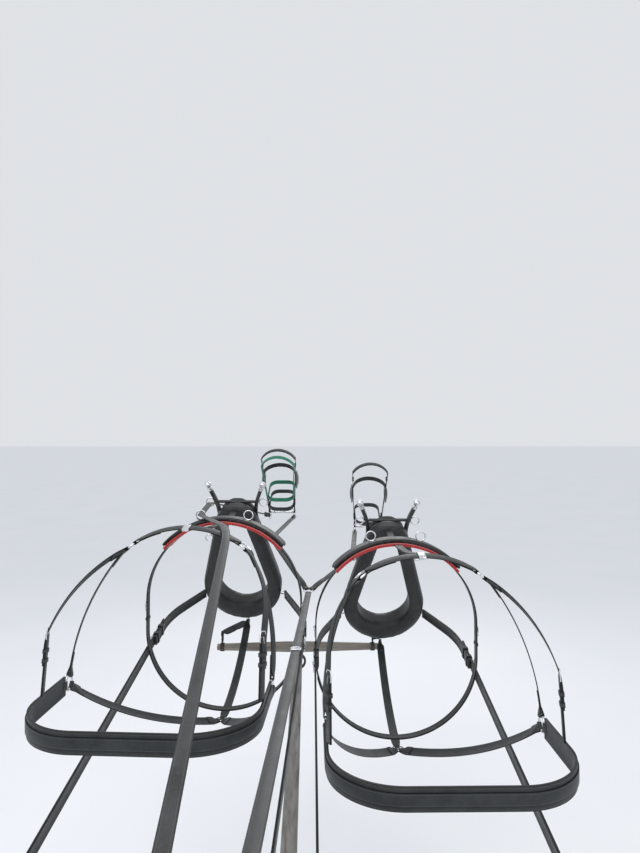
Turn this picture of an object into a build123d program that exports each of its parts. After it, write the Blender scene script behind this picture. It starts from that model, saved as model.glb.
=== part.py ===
from build123d import *
import os
from math import asin, atan2, cos, degrees, hypot, radians, sin, sqrt, tan

os.makedirs("parts", exist_ok=True)

# Frame: origin on the cross bore of the pole's heel, +Y forward along the pole, +X to the off
# (right) side, +Z up. Heights of the harness are written above the ground.
HEEL_HEIGHT = 500

# Pole
POLE_LENGTH = 3230
POLE_HEEL = 62
POLE_REAR_WIDTH = 64
POLE_REAR_DEPTH = 72
POLE_TIP_SIZE = 52
POLE_CORNER = 10
POLE_TIP_HEIGHT = 850
HEEL_BORE_RADIUS = 10.5
HEEL_PLATE = 6
HEEL_PLATE_LENGTH = 300
HEEL_PLATE_DEPTH = 46
HEEL_PLATE_CORNER = 12
HEEL_PLATE_INSET = 10

# Evener and singletrees
EVENER_Y = 430
EVENER_HALF = 450
EVENER_DEPTH = 88
EVENER_END_DEPTH = 62
EVENER_THICKNESS = 46
EVENER_CAP = 42
WEAR_PLATE = 4
WEAR_PLATE_RADIUS = 30
PIVOT_BOLT_RADIUS = 9.95
PIVOT_BORE_RADIUS = 10
BOLT_HEAD_RADIUS = 19
BOLT_HEAD = 10
SADDLE_LENGTH = 110
SADDLE_WIDTH = 58
SADDLE_LEAST = 7
TREE_HALF = 326
TREE_RADIUS = 31
TREE_END_RADIUS = 19
TREE_MIDDLE = 60
TREE_FLAT = 50
FERRULE_LENGTH = 44
FERRULE_SEAT = 2
FERRULE_WALL = 4
FERRULE_CAP = 5
HOOK_HALF = 355
HOOK_WIRE = 12
HOOK_BEND = 13
HOOK_ARM_DROP = 15
HOOK_POST = 32
HOOK_LINK_LIFT = 8

# Traces and their heel chains
TRACE_WIDTH = 45
TRACE_THICKNESS = 8
TRACE_CORNER = 8
LINK_WIRE = 9
LINK_LENGTH = 62
LINK_INNER = 17
LINK_PLAY = 0.5
HOOK_PLAY = 1.7
HOOK_LINK_INNER = 26
CHAIN_LINKS = 5
TUG_LAP = 230
TUG_THICKNESS = 10
TUG_BEND = 450
TUG_AHEAD_OF_GIRTH = 90
TRACE_TIP_LAP = 170
KEEPER_WALL = 3
KEEPER_LENGTH = 20
KEEPER_RUNS = (32, 100)

# Straps and hardware
STRAP = 38
STRAP_THICKNESS = 6
LINE_WIDTH = 28
LINE_THICKNESS = 4
LINE_FOLD_WIDTH = 16
DROP_WIDTH = 32
RING_RADIUS = 27
RING_WIRE = 7
DRAFT_RING_RADIUS = 20
LINE_RING_RADIUS = 24
LINE_RING_WIRE = 6
BUCKLE_WIRE = 4
BUCKLE_SHAPE = 0.55
BUCKLE_CLEAR = 1
FOLD = 3
FOLD_WIDTH = 20
SEAT = 0.3
RUNNING = 0.9

# Neck yoke
YOKE_Y = 3090
YOKE_HALF = 455
YOKE_RING_X = 425
YOKE_RADIUS = 29
YOKE_END_RADIUS = 18
YOKE_MIDDLE = 60
YOKE_RING_RADIUS = 48
YOKE_RING_WIRE = 12
YOKE_BAND_WALL = 4
YOKE_BAND_LENGTH = 46
YOKE_RING_PLAY = 0.5

# Collar, in its own plane: u to the side, v up along the collar, w to the rear
COLLAR_Y = 2310
COLLAR_Z = 1370
COLLAR_TILT = 28.5
COLLAR_BOTTOM_V = -130
COLLAR_BOTTOM_RADIUS = 205
COLLAR_TOP_V = 300
COLLAR_TOP_RADIUS = 95
NECK_BOTTOM_V = -110
NECK_BOTTOM_RADIUS = 140
NECK_TOP_V = 265
NECK_TOP_RADIUS = 50
COLLAR_BODY = 70
GROOVE = 20
GROOVE_DEPTH = 22
RIM = 30
RIM_DROP = 8
HAME_WIDTH = 18
HAME_END_ANGLE = -60
HAME_LEAVE_V = 230
HAME_BEND = 300
HAME_BEND_ANGLE = 35
HAME_TIP = 55
BALL_RADIUS = 17
DRAFT_V = -215
REIN_V = 150
TOP_RING_V = 375

# Where the harness lies on the body
BARREL_HALF = 350
BACK_TOP = 1640
BELLY = 800
GIRTH_Y = 1830
PAD_WIDTH = 96
PAD_THICKNESS = 14
PAD_HALF_ANGLE = 48
FELT_WIDTH = 130
FELT_THICKNESS = 12
HIP_Y = 1180
HIP_HALF = 205
HIP_Z = BACK_TOP
HIP_RISE = 70
HIP_KEEPER_LENGTH = 24
HIP_KEEPER_GAP = 1.4
HIP_KEEPER_WALL = 2.5
BACK_STRAP = 30
BREECH_REAR_Y = 555
BREECH_FRONT_Y = 930
BREECH_HALF = 330
BREECH_Z = 1235
BREECH_WIDTH = 60
BREECH_THICKNESS = 11
BREECH_CORNER = 270
BREECH_EDGE_GAP = 0.4
DROP_BUCKLE_INSET = 6
DROP_BUCKLE_Y = 800
DROP_BUCKLE_BELOW_HIP = 200
DROP_BUCKLE_Z = HIP_Z - DROP_BUCKLE_BELOW_HIP
REAR_DROP_Y = 770
BELLY_RING_DROP = 30
BREAST_RING_DROP = 62
TERRET_ANGLE = 16
GIRTH_BUCKLE_DROP = 30
CHOKE_ANGLE = 58

# Which way straps and rings face, on the off side, and how far the straps bow out
HIP_STRAP_FACE = (0, -0.25, 1)
HIP_RING_FACE = (0.6, -0.05, 0.79)
DROP_FACE = (0.9, -0.2, 0.35)
BELLY_RING_FACE = (0, 0.15, 1)
SIDE_STRAP_FACE = (0.8, 0, -0.9)
REAR_DROP_BOW = 36
FRONT_DROP_BOW = 44
SIDE_STRAP_BOW = 60
POLE_STRAP_BOW = 70
BACK_STRAP_SAG = 14
WITHERS_STRAP_SAG = 10
WITHERS_STRAP_END = 20

# Bridle, bit and halter, in the head's plane: u to the side, v up the face, w forward off it
HEAD_Y = 2850
HEAD_Z = 1930
HEAD_TILT = 31
HEAD_HALF = 104
MOUTH_HALF = 68
BRIDLE_STRAP = 26
BRIDLE_THICKNESS = 5
CHEEK_TOP_V = -10
CROWN_V = -12
CROWN_W = -30
CROWN_BOW = 62
BROW_V = -110
BROW_W = -28
BROW_BOW = 80
NOSE_V = -365
NOSE_FRONT = 70
NOSE_BACK = -120
JAW_CORNER = 50
BLINDER_V = -185
BLINDER_RADIUS = 58
BLINDER_WALL = 6
BLINDER_CROWN = 8
BLINDER_SLOPE = 60
BIT_V = -450
BIT_W = -28
BIT_RING = 38
BIT_SIDE = MOUTH_HALF + 12
BIT_BAR = 9
BIT_END = 9
HALTER_V = -290
HALTER_W = -75
HALTER_LOW_W = -62
HALTER_TOP_V = -30
HALTER_CROWN_V = -32
HALTER_CROWN_BOW = 60
HALTER_INSET = 1
HALTER_NOSE_INSET = 2.4
HALTER_FRONT = 72
HALTER_BACK = -118

# Rear ends of the lines and the fork of the inner one
NEAR_LINE_END = (-117, 30, 947)
OFF_LINE_END = (-25, 30, 1010)
LINE_FORK = (64, 2480, 885)
FORK_RING_FACE = (0, -0.25, 1)
LINE_BUCKLE_Y = 1480
LINE_BEND = 22
LINE_REST = 2.5
CROUP_REST_X = 146
CROUP_REST_LIFT = 33
CROUP_BEND = 900

# Where each harness stands: side, turn, how far ahead of its singletree, extra height, head's shift
SIDES = (
    ("near", -1, -3.8, 120, 80, 130),
    ("off", 1, 0, 0, 0, -20),
)


def unit(vector):
    return Vector(*vector).normalized()


def in_plane_of(eye, toward):
    """Direction in a ring's plane nearest to the direction toward."""
    normal = unit(eye[1])
    return (toward - normal * toward.dot(normal)).normalized()


def rim_point(eye, toward):
    """Point just outside a ring's rim, on the side that looks toward."""
    return Vector(*eye[0]) + in_plane_of(eye, toward) * (eye[2] + SEAT)


def fold(eye, toward, width=FOLD_WIDTH):
    """Add a strap's end folded round a ring's wire, on the side that looks toward."""
    centre, normal, radius, wire = eye
    outer = in_plane_of(eye, toward)
    half = wire / 2 + SEAT + FOLD
    held = Vector(*centre) + outer * (radius - wire / 2)
    lie = Plane(origin=held, x_dir=outer, z_dir=Vector(*normal))
    with BuildSketch(lie) as face:
        Rectangle(2 * half, width)
    extrude(face.sketch, amount=half, both=True)
    with BuildSketch(Plane(origin=centre, z_dir=Vector(*normal))) as room:
        Circle(radius + SEAT)
        Circle(radius - wire - SEAT, mode=Mode.SUBTRACT)
    extrude(room.sketch, amount=wire / 2 + SEAT, both=True, mode=Mode.SUBTRACT)


def strap(
    start,
    end,
    outward,
    width,
    thickness=STRAP_THICKNESS,
    bulge=0,
    trims=(0, 0),
    eyes=(None, None),
):
    """Add one flat strap from start to end, its face turned outward and bowed by bulge.

    An end with an eye is folded round that ring's wire; the others are trimmed square.
    """
    run = Vector(*end) - Vector(*start)
    chord = run.normalized()
    rise = (Vector(*outward) - chord * chord.dot(Vector(*outward))).normalized()
    lift = 2 * atan2(2 * bulge, run.length)
    leaving = (chord * cos(lift) + rise * sin(lift), rise * sin(lift) - chord * cos(lift))
    first = rim_point(eyes[0], leaving[0]) if eyes[0] else Vector(*start) + chord * trims[0]
    last = rim_point(eyes[1], leaving[1]) if eyes[1] else Vector(*end) - chord * trims[1]
    length = (last - first).length
    crest = Vector(*start) + run / 2 + rise * bulge
    chord = (last - first).normalized()
    side_plane = Plane(origin=first, x_dir=chord, z_dir=chord.cross(Vector(*outward)))
    crest_in_view = side_plane.to_local_coords(crest)
    with BuildSketch(side_plane) as side_view:
        with BuildLine():
            if bulge:
                ThreePointArc((0, 0), (crest_in_view.X, crest_in_view.Y), (length, 0))
            else:
                Line((0, 0), (length, 0))
        trace(line_width=thickness)
    extrude(side_view.sketch, amount=width / 2, both=True)
    for eye, toward in zip(eyes, leaving):
        if eye:
            fold(eye, toward)


def ring(centre, normal, radius=RING_RADIUS, wire=RING_WIRE):
    """Add one flat-forged ring."""
    with BuildSketch(Plane(origin=centre, z_dir=Vector(*normal))) as face:
        Circle(radius)
        Circle(radius - wire, mode=Mode.SUBTRACT)
    extrude(face.sketch, amount=wire / 2, both=True)


def mirrored(face, side):
    return (side * face[0], face[1], face[2])


def buckle(centre, along, outward, strap_width, wire=BUCKLE_WIRE):
    """Add a rectangular buckle frame with its tongue, lying on the strap's outer face."""
    across = unit(Vector(*along)).cross(Vector(*outward))
    lie = Plane(origin=centre, x_dir=Vector(*along), z_dir=Vector(*along).cross(across))
    long_side = 2 * buckle_half(strap_width)
    with BuildSketch(lie) as face:
        RectangleRounded(long_side, strap_width + 2 * wire, wire)
        Rectangle(long_side - 2 * wire, strap_width, mode=Mode.SUBTRACT)
        Rectangle(long_side - wire, wire)
    extrude(face.sketch, amount=wire / 2, both=True)


def egg(bottom_v, bottom_radius, top_v, top_radius, grow=0, mode=Mode.ADD):
    """Add the outline of a collar: two arcs joined by their common tangents."""
    low, high = bottom_radius + grow, top_radius + grow
    lean = degrees(asin((low - high) / (top_v - bottom_v)))
    with BuildLine() as rim:
        lower = CenterArc((0, bottom_v), low, 180 - lean, 180 + 2 * lean)
        upper = CenterArc((0, top_v), high, lean, 180 - 2 * lean)
        Line(lower @ 1, upper @ 0)
        Line(upper @ 1, lower @ 0)
    make_face(rim.edges(), mode=mode)


def save(part, name):
    part.label = name
    export_step(part, f"parts/{name}.step")


def buckle_half(strap_width):
    return strap_width * BUCKLE_SHAPE


RING_REACH = hypot(RING_RADIUS, RING_WIRE / 2) + SEAT

collar_plane = Plane(
    origin=(0, COLLAR_Y, COLLAR_Z),
    x_dir=(1, 0, 0),
    z_dir=(0, -cos(radians(COLLAR_TILT)), -sin(radians(COLLAR_TILT))),
)


def on_collar(u, v, w):
    return collar_plane.from_local_coords((u, v, w))


# The hame's centre line in the collar plane
groove_grow = HAME_WIDTH / 2 + SEAT - GROOVE_DEPTH
hame_radius = COLLAR_BOTTOM_RADIUS + groove_grow
hame_lean = degrees(
    asin((COLLAR_BOTTOM_RADIUS - COLLAR_TOP_RADIUS) / (COLLAR_TOP_V - COLLAR_BOTTOM_V))
)
HAME_W = -GROOVE / 2
hame_foot = (
    hame_radius * cos(radians(hame_lean)),
    COLLAR_BOTTOM_V + hame_radius * sin(radians(hame_lean)),
)
leave_run = (HAME_LEAVE_V - hame_foot[1]) / cos(radians(hame_lean))
hame_leave = (hame_foot[0] - leave_run * sin(radians(hame_lean)), HAME_LEAVE_V)
bend_centre = (
    hame_leave[0] + HAME_BEND * cos(radians(hame_lean)),
    hame_leave[1] + HAME_BEND * sin(radians(hame_lean)),
)
end_turn = radians(180 + hame_lean - HAME_BEND_ANGLE)
hame_top = (
    bend_centre[0] + HAME_BEND * cos(end_turn),
    bend_centre[1] + HAME_BEND * sin(end_turn),
)
tip_angle = radians(90 + hame_lean - HAME_BEND_ANGLE)
ball_centre = (
    hame_top[0] + (HAME_TIP + BALL_RADIUS) * cos(tip_angle),
    hame_top[1] + (HAME_TIP + BALL_RADIUS) * sin(tip_angle),
)


def hame_u(v, clear=0):
    """Where a line offset by clear from the hame's outer face passes height v."""
    half = HAME_WIDTH / 2 + clear
    if v < hame_foot[1]:
        return sqrt((hame_radius + half) ** 2 - (v - COLLAR_BOTTOM_V) ** 2)
    if v < HAME_LEAVE_V:
        run = (v - hame_foot[1]) / cos(radians(hame_lean))
        return hame_foot[0] - run * sin(radians(hame_lean)) + half / cos(radians(hame_lean))
    return bend_centre[0] - sqrt((HAME_BEND - half) ** 2 - (v - bend_centre[1]) ** 2)


DRAFT_REACH = hypot(DRAFT_RING_RADIUS, RING_WIRE / 2) + SEAT
LINE_RING_REACH = hypot(LINE_RING_RADIUS, LINE_RING_WIRE / 2) + SEAT
hame_inset = GROOVE_DEPTH - HAME_WIDTH + SEAT
draft_u = hame_u(DRAFT_V, hame_inset + DRAFT_REACH)
rein_u = hame_u(REIN_V, hame_inset + LINE_RING_REACH)
top_ring_u = hame_u(TOP_RING_V, LINE_RING_REACH)

# Padded collar: thick body to the rear, rolled rim in front, groove for the hames between
with BuildPart() as collar:
    slices = (
        (0, COLLAR_BODY, 0),
        (-GROOVE, GROOVE, -GROOVE_DEPTH),
        (-GROOVE - RIM, RIM, -RIM_DROP),
    )
    for w, depth, grow in slices:
        with BuildSketch(collar_plane.offset(w)) as outline:
            egg(COLLAR_BOTTOM_V, COLLAR_BOTTOM_RADIUS, COLLAR_TOP_V, COLLAR_TOP_RADIUS, grow)
            egg(
                NECK_BOTTOM_V,
                NECK_BOTTOM_RADIUS,
                NECK_TOP_V,
                NECK_TOP_RADIUS,
                mode=Mode.SUBTRACT,
            )
        extrude(outline.sketch, amount=depth)

# Hames: a pair of bars bent to the collar, their tops flared out below the balls
with BuildPart() as hames:
    with BuildSketch(collar_plane.offset(HAME_W)) as outline:
        with BuildLine():
            foot = CenterArc(
                (0, COLLAR_BOTTOM_V), hame_radius, HAME_END_ANGLE, hame_lean - HAME_END_ANGLE
            )
            rise = Line(foot @ 1, hame_leave)
            flare = JernArc(hame_leave, rise % 1, HAME_BEND, -HAME_BEND_ANGLE)
            Line(flare @ 1, flare @ 1 + (flare % 1) * HAME_TIP)
        trace(line_width=HAME_WIDTH)
    extrude(outline.sketch, amount=HAME_WIDTH / 2, both=True)
    staples = (
        (hame_u(DRAFT_V), draft_u - DRAFT_REACH, DRAFT_V),
        (hame_u(REIN_V), rein_u - LINE_RING_REACH, REIN_V),
    )
    for inner_u, outer_u, v in staples:
        with BuildSketch(collar_plane.offset(HAME_W)) as lug:
            with Locations(((inner_u + outer_u) / 2 - HAME_WIDTH / 4, v)):
                Rectangle(outer_u - inner_u + HAME_WIDTH / 2, HAME_WIDTH)
        extrude(lug.sketch, amount=RING_WIRE / 2, both=True)
    mirror(about=Plane.YZ)

# Hame straps: one across the foot and one over the top of the collar
with BuildPart() as hame_straps:
    with BuildSketch(collar_plane.offset(HAME_W)) as outline:
        with BuildLine():
            gap = degrees(SEAT / hame_radius)
            CenterArc(
                (0, COLLAR_BOTTOM_V),
                hame_radius,
                -180 - HAME_END_ANGLE + gap,
                2 * (90 + HAME_END_ANGLE) - 2 * gap,
            )
        trace(line_width=STRAP_THICKNESS)
    extrude(outline.sketch, amount=HAME_WIDTH / 2, both=True)
    strap_v = COLLAR_TOP_V + COLLAR_TOP_RADIUS - GROOVE_DEPTH + STRAP_THICKNESS
    strap_end = hame_u(strap_v - STRAP_THICKNESS / 2) - HAME_WIDTH - 2 * SEAT
    strap(
        on_collar(-strap_end, strap_v, HAME_W),
        on_collar(strap_end, strap_v, HAME_W),
        collar_plane.y_dir,
        HAME_WIDTH,
    )

# Back pad over the withers, with its felt
barrel_top_z = BACK_TOP - BARREL_HALF


def saddle_band(radius, width, thickness):
    """Add a band over the top of the barrel, where the girth goes round."""
    middle = Plane(origin=(0, GIRTH_Y, barrel_top_z), x_dir=(1, 0, 0), z_dir=(0, -1, 0))
    with BuildSketch(middle) as band:
        with BuildLine():
            CenterArc((0, 0), radius, 90 - PAD_HALF_ANGLE, 2 * PAD_HALF_ANGLE)
        trace(line_width=thickness)
    extrude(band.sketch, amount=width / 2, both=True)


felt_radius = BARREL_HALF + FELT_THICKNESS / 2
pad_radius = BARREL_HALF + FELT_THICKNESS + SEAT + PAD_THICKNESS / 2
billet_radius = BARREL_HALF + STRAP_THICKNESS / 2
with BuildPart() as pad_felt:
    saddle_band(felt_radius, FELT_WIDTH, FELT_THICKNESS)

with BuildPart() as back_pad:
    saddle_band(pad_radius, PAD_WIDTH, PAD_THICKNESS)

# Billets and belly band: the barrel's outline from one end of the felt round to the other
with BuildPart() as belly_band:
    with BuildSketch(Plane(origin=(0, GIRTH_Y, 0), x_dir=(1, 0, 0), z_dir=(0, -1, 0))) as band:
        with BuildLine():
            seat_angle = degrees(SEAT / billet_radius)
            start = 90 - PAD_HALF_ANGLE - seat_angle
            low_z = BELLY + BARREL_HALF
            right = CenterArc((0, barrel_top_z), billet_radius, 0, start)
            left = CenterArc((0, barrel_top_z), billet_radius, 180 - start, start)
            under = CenterArc((0, low_z), billet_radius, 180, 180)
            Line(right @ 0, under @ 1)
            Line(left @ 1, under @ 0)
        trace(line_width=STRAP_THICKNESS)
    extrude(band.sketch, amount=STRAP / 2, both=True)

# Points that straps share, given for the off side and mirrored by their users
hip_out = unit(HIP_STRAP_FACE)
hip_top = Vector(0, HIP_Y, HIP_Z) + hip_out * HIP_RISE
breech_ring_at = (BREECH_HALF, BREECH_FRONT_Y + RING_REACH, BREECH_Z)
belly_ring_at = (0, GIRTH_Y - STRAP / 2 - RING_REACH, BELLY - BELLY_RING_DROP)
drop_buckle_at = (BREECH_HALF - DROP_BUCKLE_INSET, DROP_BUCKLE_Y, DROP_BUCKLE_Z)
breech_corner_x = BREECH_HALF - BREECH_CORNER
rear_drop_x = breech_corner_x + sqrt(
    BREECH_CORNER**2 - (BREECH_REAR_Y + BREECH_CORNER - REAR_DROP_Y) ** 2
)


# Rings as centre, normal, radius and wire, turned so that their straps lie nearly in their plane
def hip_eye(side):
    return ((side * HIP_HALF, HIP_Y, HIP_Z), mirrored(HIP_RING_FACE, side), RING_RADIUS, RING_WIRE)


def breech_eye(side):
    at = (side * BREECH_HALF, breech_ring_at[1], BREECH_Z)
    return (at, (side, 0, 0), RING_RADIUS, RING_WIRE)


breast_ring_v = COLLAR_BOTTOM_V - COLLAR_BOTTOM_RADIUS - BREAST_RING_DROP
breast_ring_at = on_collar(0, breast_ring_v, HAME_W)
belly_eye = (belly_ring_at, BELLY_RING_FACE, RING_RADIUS, RING_WIRE)
breast_eye = (breast_ring_at, (1, 0, 0), RING_RADIUS, RING_WIRE)


# Strap over the croup, from one hip ring to the other, split by the keeper at its top
with BuildPart() as hip_strap:
    left, right = hip_eye(-1), hip_eye(1)
    strap(left[0], right[0], hip_out, STRAP, bulge=HIP_RISE, eyes=(left, right))

# Back strap from the hames over the pad to the keeper on the croup
hip_front = Vector(1, 0, 0).cross(hip_out) * -1
keeper_reach = STRAP / 2 + SEAT + HIP_KEEPER_WALL
with BuildPart() as back_strap:
    croup = hip_top + hip_front * (keeper_reach + HIP_KEEPER_GAP)
    pad_rear = (0, GIRTH_Y - FELT_WIDTH / 2 - 3 * SEAT, BACK_TOP + STRAP_THICKNESS)
    strap(croup, pad_rear, (0, 0, 1), BACK_STRAP, bulge=-BACK_STRAP_SAG)
    pad_front = (0, GIRTH_Y + FELT_WIDTH / 2 + 3 * SEAT, BACK_TOP + STRAP_THICKNESS)
    collar_back_v = COLLAR_TOP_V + COLLAR_TOP_RADIUS - WITHERS_STRAP_END
    collar_back = on_collar(0, collar_back_v, COLLAR_BODY + 3 * SEAT)
    strap(pad_front, collar_back, (0, 0, 1), BACK_STRAP, bulge=-WITHERS_STRAP_SAG)

# Drops from each hip ring: the rear one buckled, the front one plain
drop_gap = buckle_half(DROP_WIDTH) + 2 * SEAT
with BuildPart() as hip_drops:
    for side in (-1, 1):
        out = mirrored(DROP_FACE, side)
        hip = hip_eye(side)
        haunch = breech_eye(side)
        buckle_at = mirrored(drop_buckle_at, side)
        seat_point = (side * rear_drop_x, REAR_DROP_Y, BREECH_Z + BREECH_WIDTH / 2)
        strap(
            hip[0],
            buckle_at,
            out,
            DROP_WIDTH,
            bulge=REAR_DROP_BOW,
            trims=(0, drop_gap),
            eyes=(hip, None),
        )
        strap(
            buckle_at,
            seat_point,
            out,
            DROP_WIDTH,
            trims=(drop_gap, STRAP_THICKNESS / 2 + BREECH_EDGE_GAP),
        )
        strap(hip[0], haunch[0], out, DROP_WIDTH, bulge=FRONT_DROP_BOW, eyes=(hip, haunch))

# Breeching: one folded band round the haunches
with BuildPart() as breeching:
    with BuildSketch(Plane.XY.offset(BREECH_Z)) as plan:
        with BuildLine():
            FilletPolyline(
                (-BREECH_HALF, BREECH_FRONT_Y),
                (-BREECH_HALF, BREECH_REAR_Y),
                (BREECH_HALF, BREECH_REAR_Y),
                (BREECH_HALF, BREECH_FRONT_Y),
                radius=BREECH_CORNER,
            )
        trace(line_width=BREECH_THICKNESS)
    extrude(plan.sketch, amount=BREECH_WIDTH / 2, both=True)
    for side in (-1, 1):
        fold(breech_eye(side), Vector(0, -1, 0))

# Side straps from the breeching forward under the belly, and the pole strap between the forelegs
with BuildPart() as side_straps:
    for side in (-1, 1):
        haunch = breech_eye(side)
        strap(
            haunch[0],
            belly_ring_at,
            mirrored(SIDE_STRAP_FACE, side),
            STRAP,
            bulge=SIDE_STRAP_BOW,
            eyes=(haunch, belly_eye),
        )
    strap(
        belly_ring_at,
        breast_ring_at,
        (0, 0, -1),
        STRAP,
        bulge=POLE_STRAP_BOW,
        eyes=(belly_eye, breast_eye),
    )
    choke_reach = COLLAR_BOTTOM_RADIUS + STRAP_THICKNESS / 2 + 2 * SEAT
    choke_u = choke_reach * cos(radians(CHOKE_ANGLE))
    choke_v = COLLAR_BOTTOM_V - choke_reach * sin(radians(CHOKE_ANGLE))
    for side in (-1, 1):
        collar_end = on_collar(side * choke_u, choke_v, HAME_W)
        strap(collar_end, breast_ring_at, (side, 0, 0), DROP_WIDTH, eyes=(None, breast_eye))

# Bridle: cheek straps on the bit rings, crown, brow band and nose band
face_plane = Plane(
    origin=(0, HEAD_Y, HEAD_Z),
    x_dir=(1, 0, 0),
    z_dir=(0, -cos(radians(HEAD_TILT)), -sin(radians(HEAD_TILT))),
)


def on_face(u, v, w):
    return face_plane.from_local_coords((u, v, -w))


def head_half(v):
    """Half width of the head at v, from brow to mouth."""
    return HEAD_HALF + (MOUTH_HALF - HEAD_HALF) * v / BIT_V


def face_loop(v, half, front, back):
    """Add a closed band round the face at v, from back to front of the head."""
    skin = BRIDLE_THICKNESS
    level = Plane(origin=on_face(0, v, 0), x_dir=(1, 0, 0), z_dir=face_plane.y_dir)
    with BuildSketch(level) as band:
        with Locations((0, -(front + back) / 2)):
            RectangleRounded(2 * half + 2 * skin, front - back + 2 * skin, JAW_CORNER)
            RectangleRounded(2 * half, front - back, JAW_CORNER - skin, mode=Mode.SUBTRACT)
    extrude(band.sketch, amount=BRIDLE_STRAP / 2, both=True)


def bit_eye(side):
    return (on_face(side * BIT_SIDE, BIT_V, BIT_W), (1, 0, 0), BIT_RING, RING_WIRE)


cheek_lean = (HEAD_HALF - BIT_SIDE) / (CHEEK_TOP_V - BIT_V - BIT_RING)


def cheek_u(v):
    """Outer face of the bridle's cheek strap at v."""
    return HEAD_HALF - (CHEEK_TOP_V - v) * cheek_lean + BRIDLE_THICKNESS / 2


with BuildPart() as bridle:
    for side in (-1, 1):
        top = on_face(side * HEAD_HALF, CHEEK_TOP_V, BIT_W)
        cheek_eye = bit_eye(side)
        strap(
            top,
            cheek_eye[0],
            (side, 0, 0),
            BRIDLE_STRAP,
            BRIDLE_THICKNESS,
            eyes=(None, cheek_eye),
        )
    strap(
        on_face(-HEAD_HALF, CROWN_V, CROWN_W),
        on_face(HEAD_HALF, CROWN_V, CROWN_W),
        face_plane.y_dir,
        BRIDLE_STRAP,
        BRIDLE_THICKNESS,
        bulge=CROWN_BOW,
    )
    strap(
        on_face(-head_half(BROW_V), BROW_V, BROW_W),
        on_face(head_half(BROW_V), BROW_V, BROW_W),
        face_plane.z_dir * -1,
        BRIDLE_STRAP,
        BRIDLE_THICKNESS,
        bulge=BROW_BOW,
    )
    face_loop(NOSE_V, head_half(NOSE_V) - HALTER_INSET, NOSE_FRONT, NOSE_BACK)

blinder_u = cheek_u(BLINDER_V + BLINDER_RADIUS) + 2 * SEAT
with BuildPart() as blinders:
    for side in (-1, 1):
        cheek = Plane(
            origin=on_face(side * blinder_u, BLINDER_V, 0),
            x_dir=face_plane.y_dir,
            z_dir=(side, 0, 0),
        )
        with BuildSketch(cheek) as cup:
            Circle(BLINDER_RADIUS)
        extrude(cup.sketch, amount=BLINDER_WALL)
        with BuildSketch(cheek.offset(BLINDER_WALL)) as crown:
            Circle(BLINDER_RADIUS)
        extrude(crown.sketch, amount=BLINDER_CROWN, taper=BLINDER_SLOPE)

# Terrets on the back pad, for the lines
terret_reach = pad_radius + PAD_THICKNESS / 2 + SEAT + LINE_RING_RADIUS


def terret_at(side):
    lean = radians(TERRET_ANGLE)
    up = terret_reach * cos(lean)
    return (side * terret_reach * sin(lean), GIRTH_Y, barrel_top_z + up)


# Shapes made once and set in place on the near and the off side
per_side = {
    "collar": collar,
    "hames": hames,
    "hame_straps": hame_straps,
    "back_pad": back_pad,
    "pad_felt": pad_felt,
    "belly_band": belly_band,
    "back_strap": back_strap,
    "hip_strap": hip_strap,
    "hip_drops": hip_drops,
    "breeching": breeching,
    "side_straps": side_straps,
}
per_head = {"bridle": bridle, "blinders": blinders}

# Draft gear
pole_rise = atan2(POLE_TIP_HEIGHT - HEEL_HEIGHT, POLE_LENGTH - POLE_HEEL)
pole_run = Vector(0, cos(pole_rise), sin(pole_rise))


def pole_plane(distance):
    """Plane square to the pole at a distance forward of the heel's bore."""
    return Plane(origin=pole_run * distance, x_dir=(1, 0, 0), z_dir=pole_run)


pole_tip_distance = (POLE_LENGTH - POLE_HEEL) / cos(pole_rise)
with BuildPart() as pole:
    with BuildSketch(pole_plane(-POLE_HEEL)) as heel_end:
        RectangleRounded(POLE_REAR_WIDTH, POLE_REAR_DEPTH, POLE_CORNER)
    with BuildSketch(pole_plane(pole_tip_distance)) as tip_end:
        RectangleRounded(POLE_TIP_SIZE, POLE_TIP_SIZE, POLE_CORNER)
    loft(sections=[heel_end.sketch, tip_end.sketch])
    with BuildSketch(Plane.YZ) as bore:
        Circle(HEEL_BORE_RADIUS)
    extrude(bore.sketch, amount=POLE_REAR_WIDTH, both=True, mode=Mode.SUBTRACT)
    with BuildSketch(Plane.XY) as bolt_hole:
        with Locations((0, EVENER_Y)):
            Circle(PIVOT_BORE_RADIUS)
    extrude(bolt_hole.sketch, amount=POLE_TIP_HEIGHT, both=True, mode=Mode.SUBTRACT)

with BuildPart() as pole_irons:
    for side in (-1, 1):
        cheek = Plane(
            origin=(side * (POLE_REAR_WIDTH / 2 + SEAT), 0, 0),
            x_dir=pole_run,
            z_dir=(side, 0, 0),
        )
        with BuildSketch(cheek) as plate:
            with Locations((HEEL_PLATE_LENGTH / 2 - POLE_HEEL + HEEL_PLATE_INSET, 0)):
                RectangleRounded(HEEL_PLATE_LENGTH, HEEL_PLATE_DEPTH, HEEL_PLATE_CORNER)
            Circle(HEEL_BORE_RADIUS, mode=Mode.SUBTRACT)
        extrude(plate.sketch, amount=HEEL_PLATE)


def pole_half_depth(y):
    """Half the pole's depth, square to it, at a point y forward of the heel bore."""
    share = (y / cos(pole_rise) + POLE_HEEL) / (pole_tip_distance + POLE_HEEL)
    return (POLE_REAR_DEPTH + (POLE_TIP_SIZE - POLE_REAR_DEPTH) * share) / 2


def pole_top(y):
    return y * tan(pole_rise) + pole_half_depth(y) / cos(pole_rise)


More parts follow.
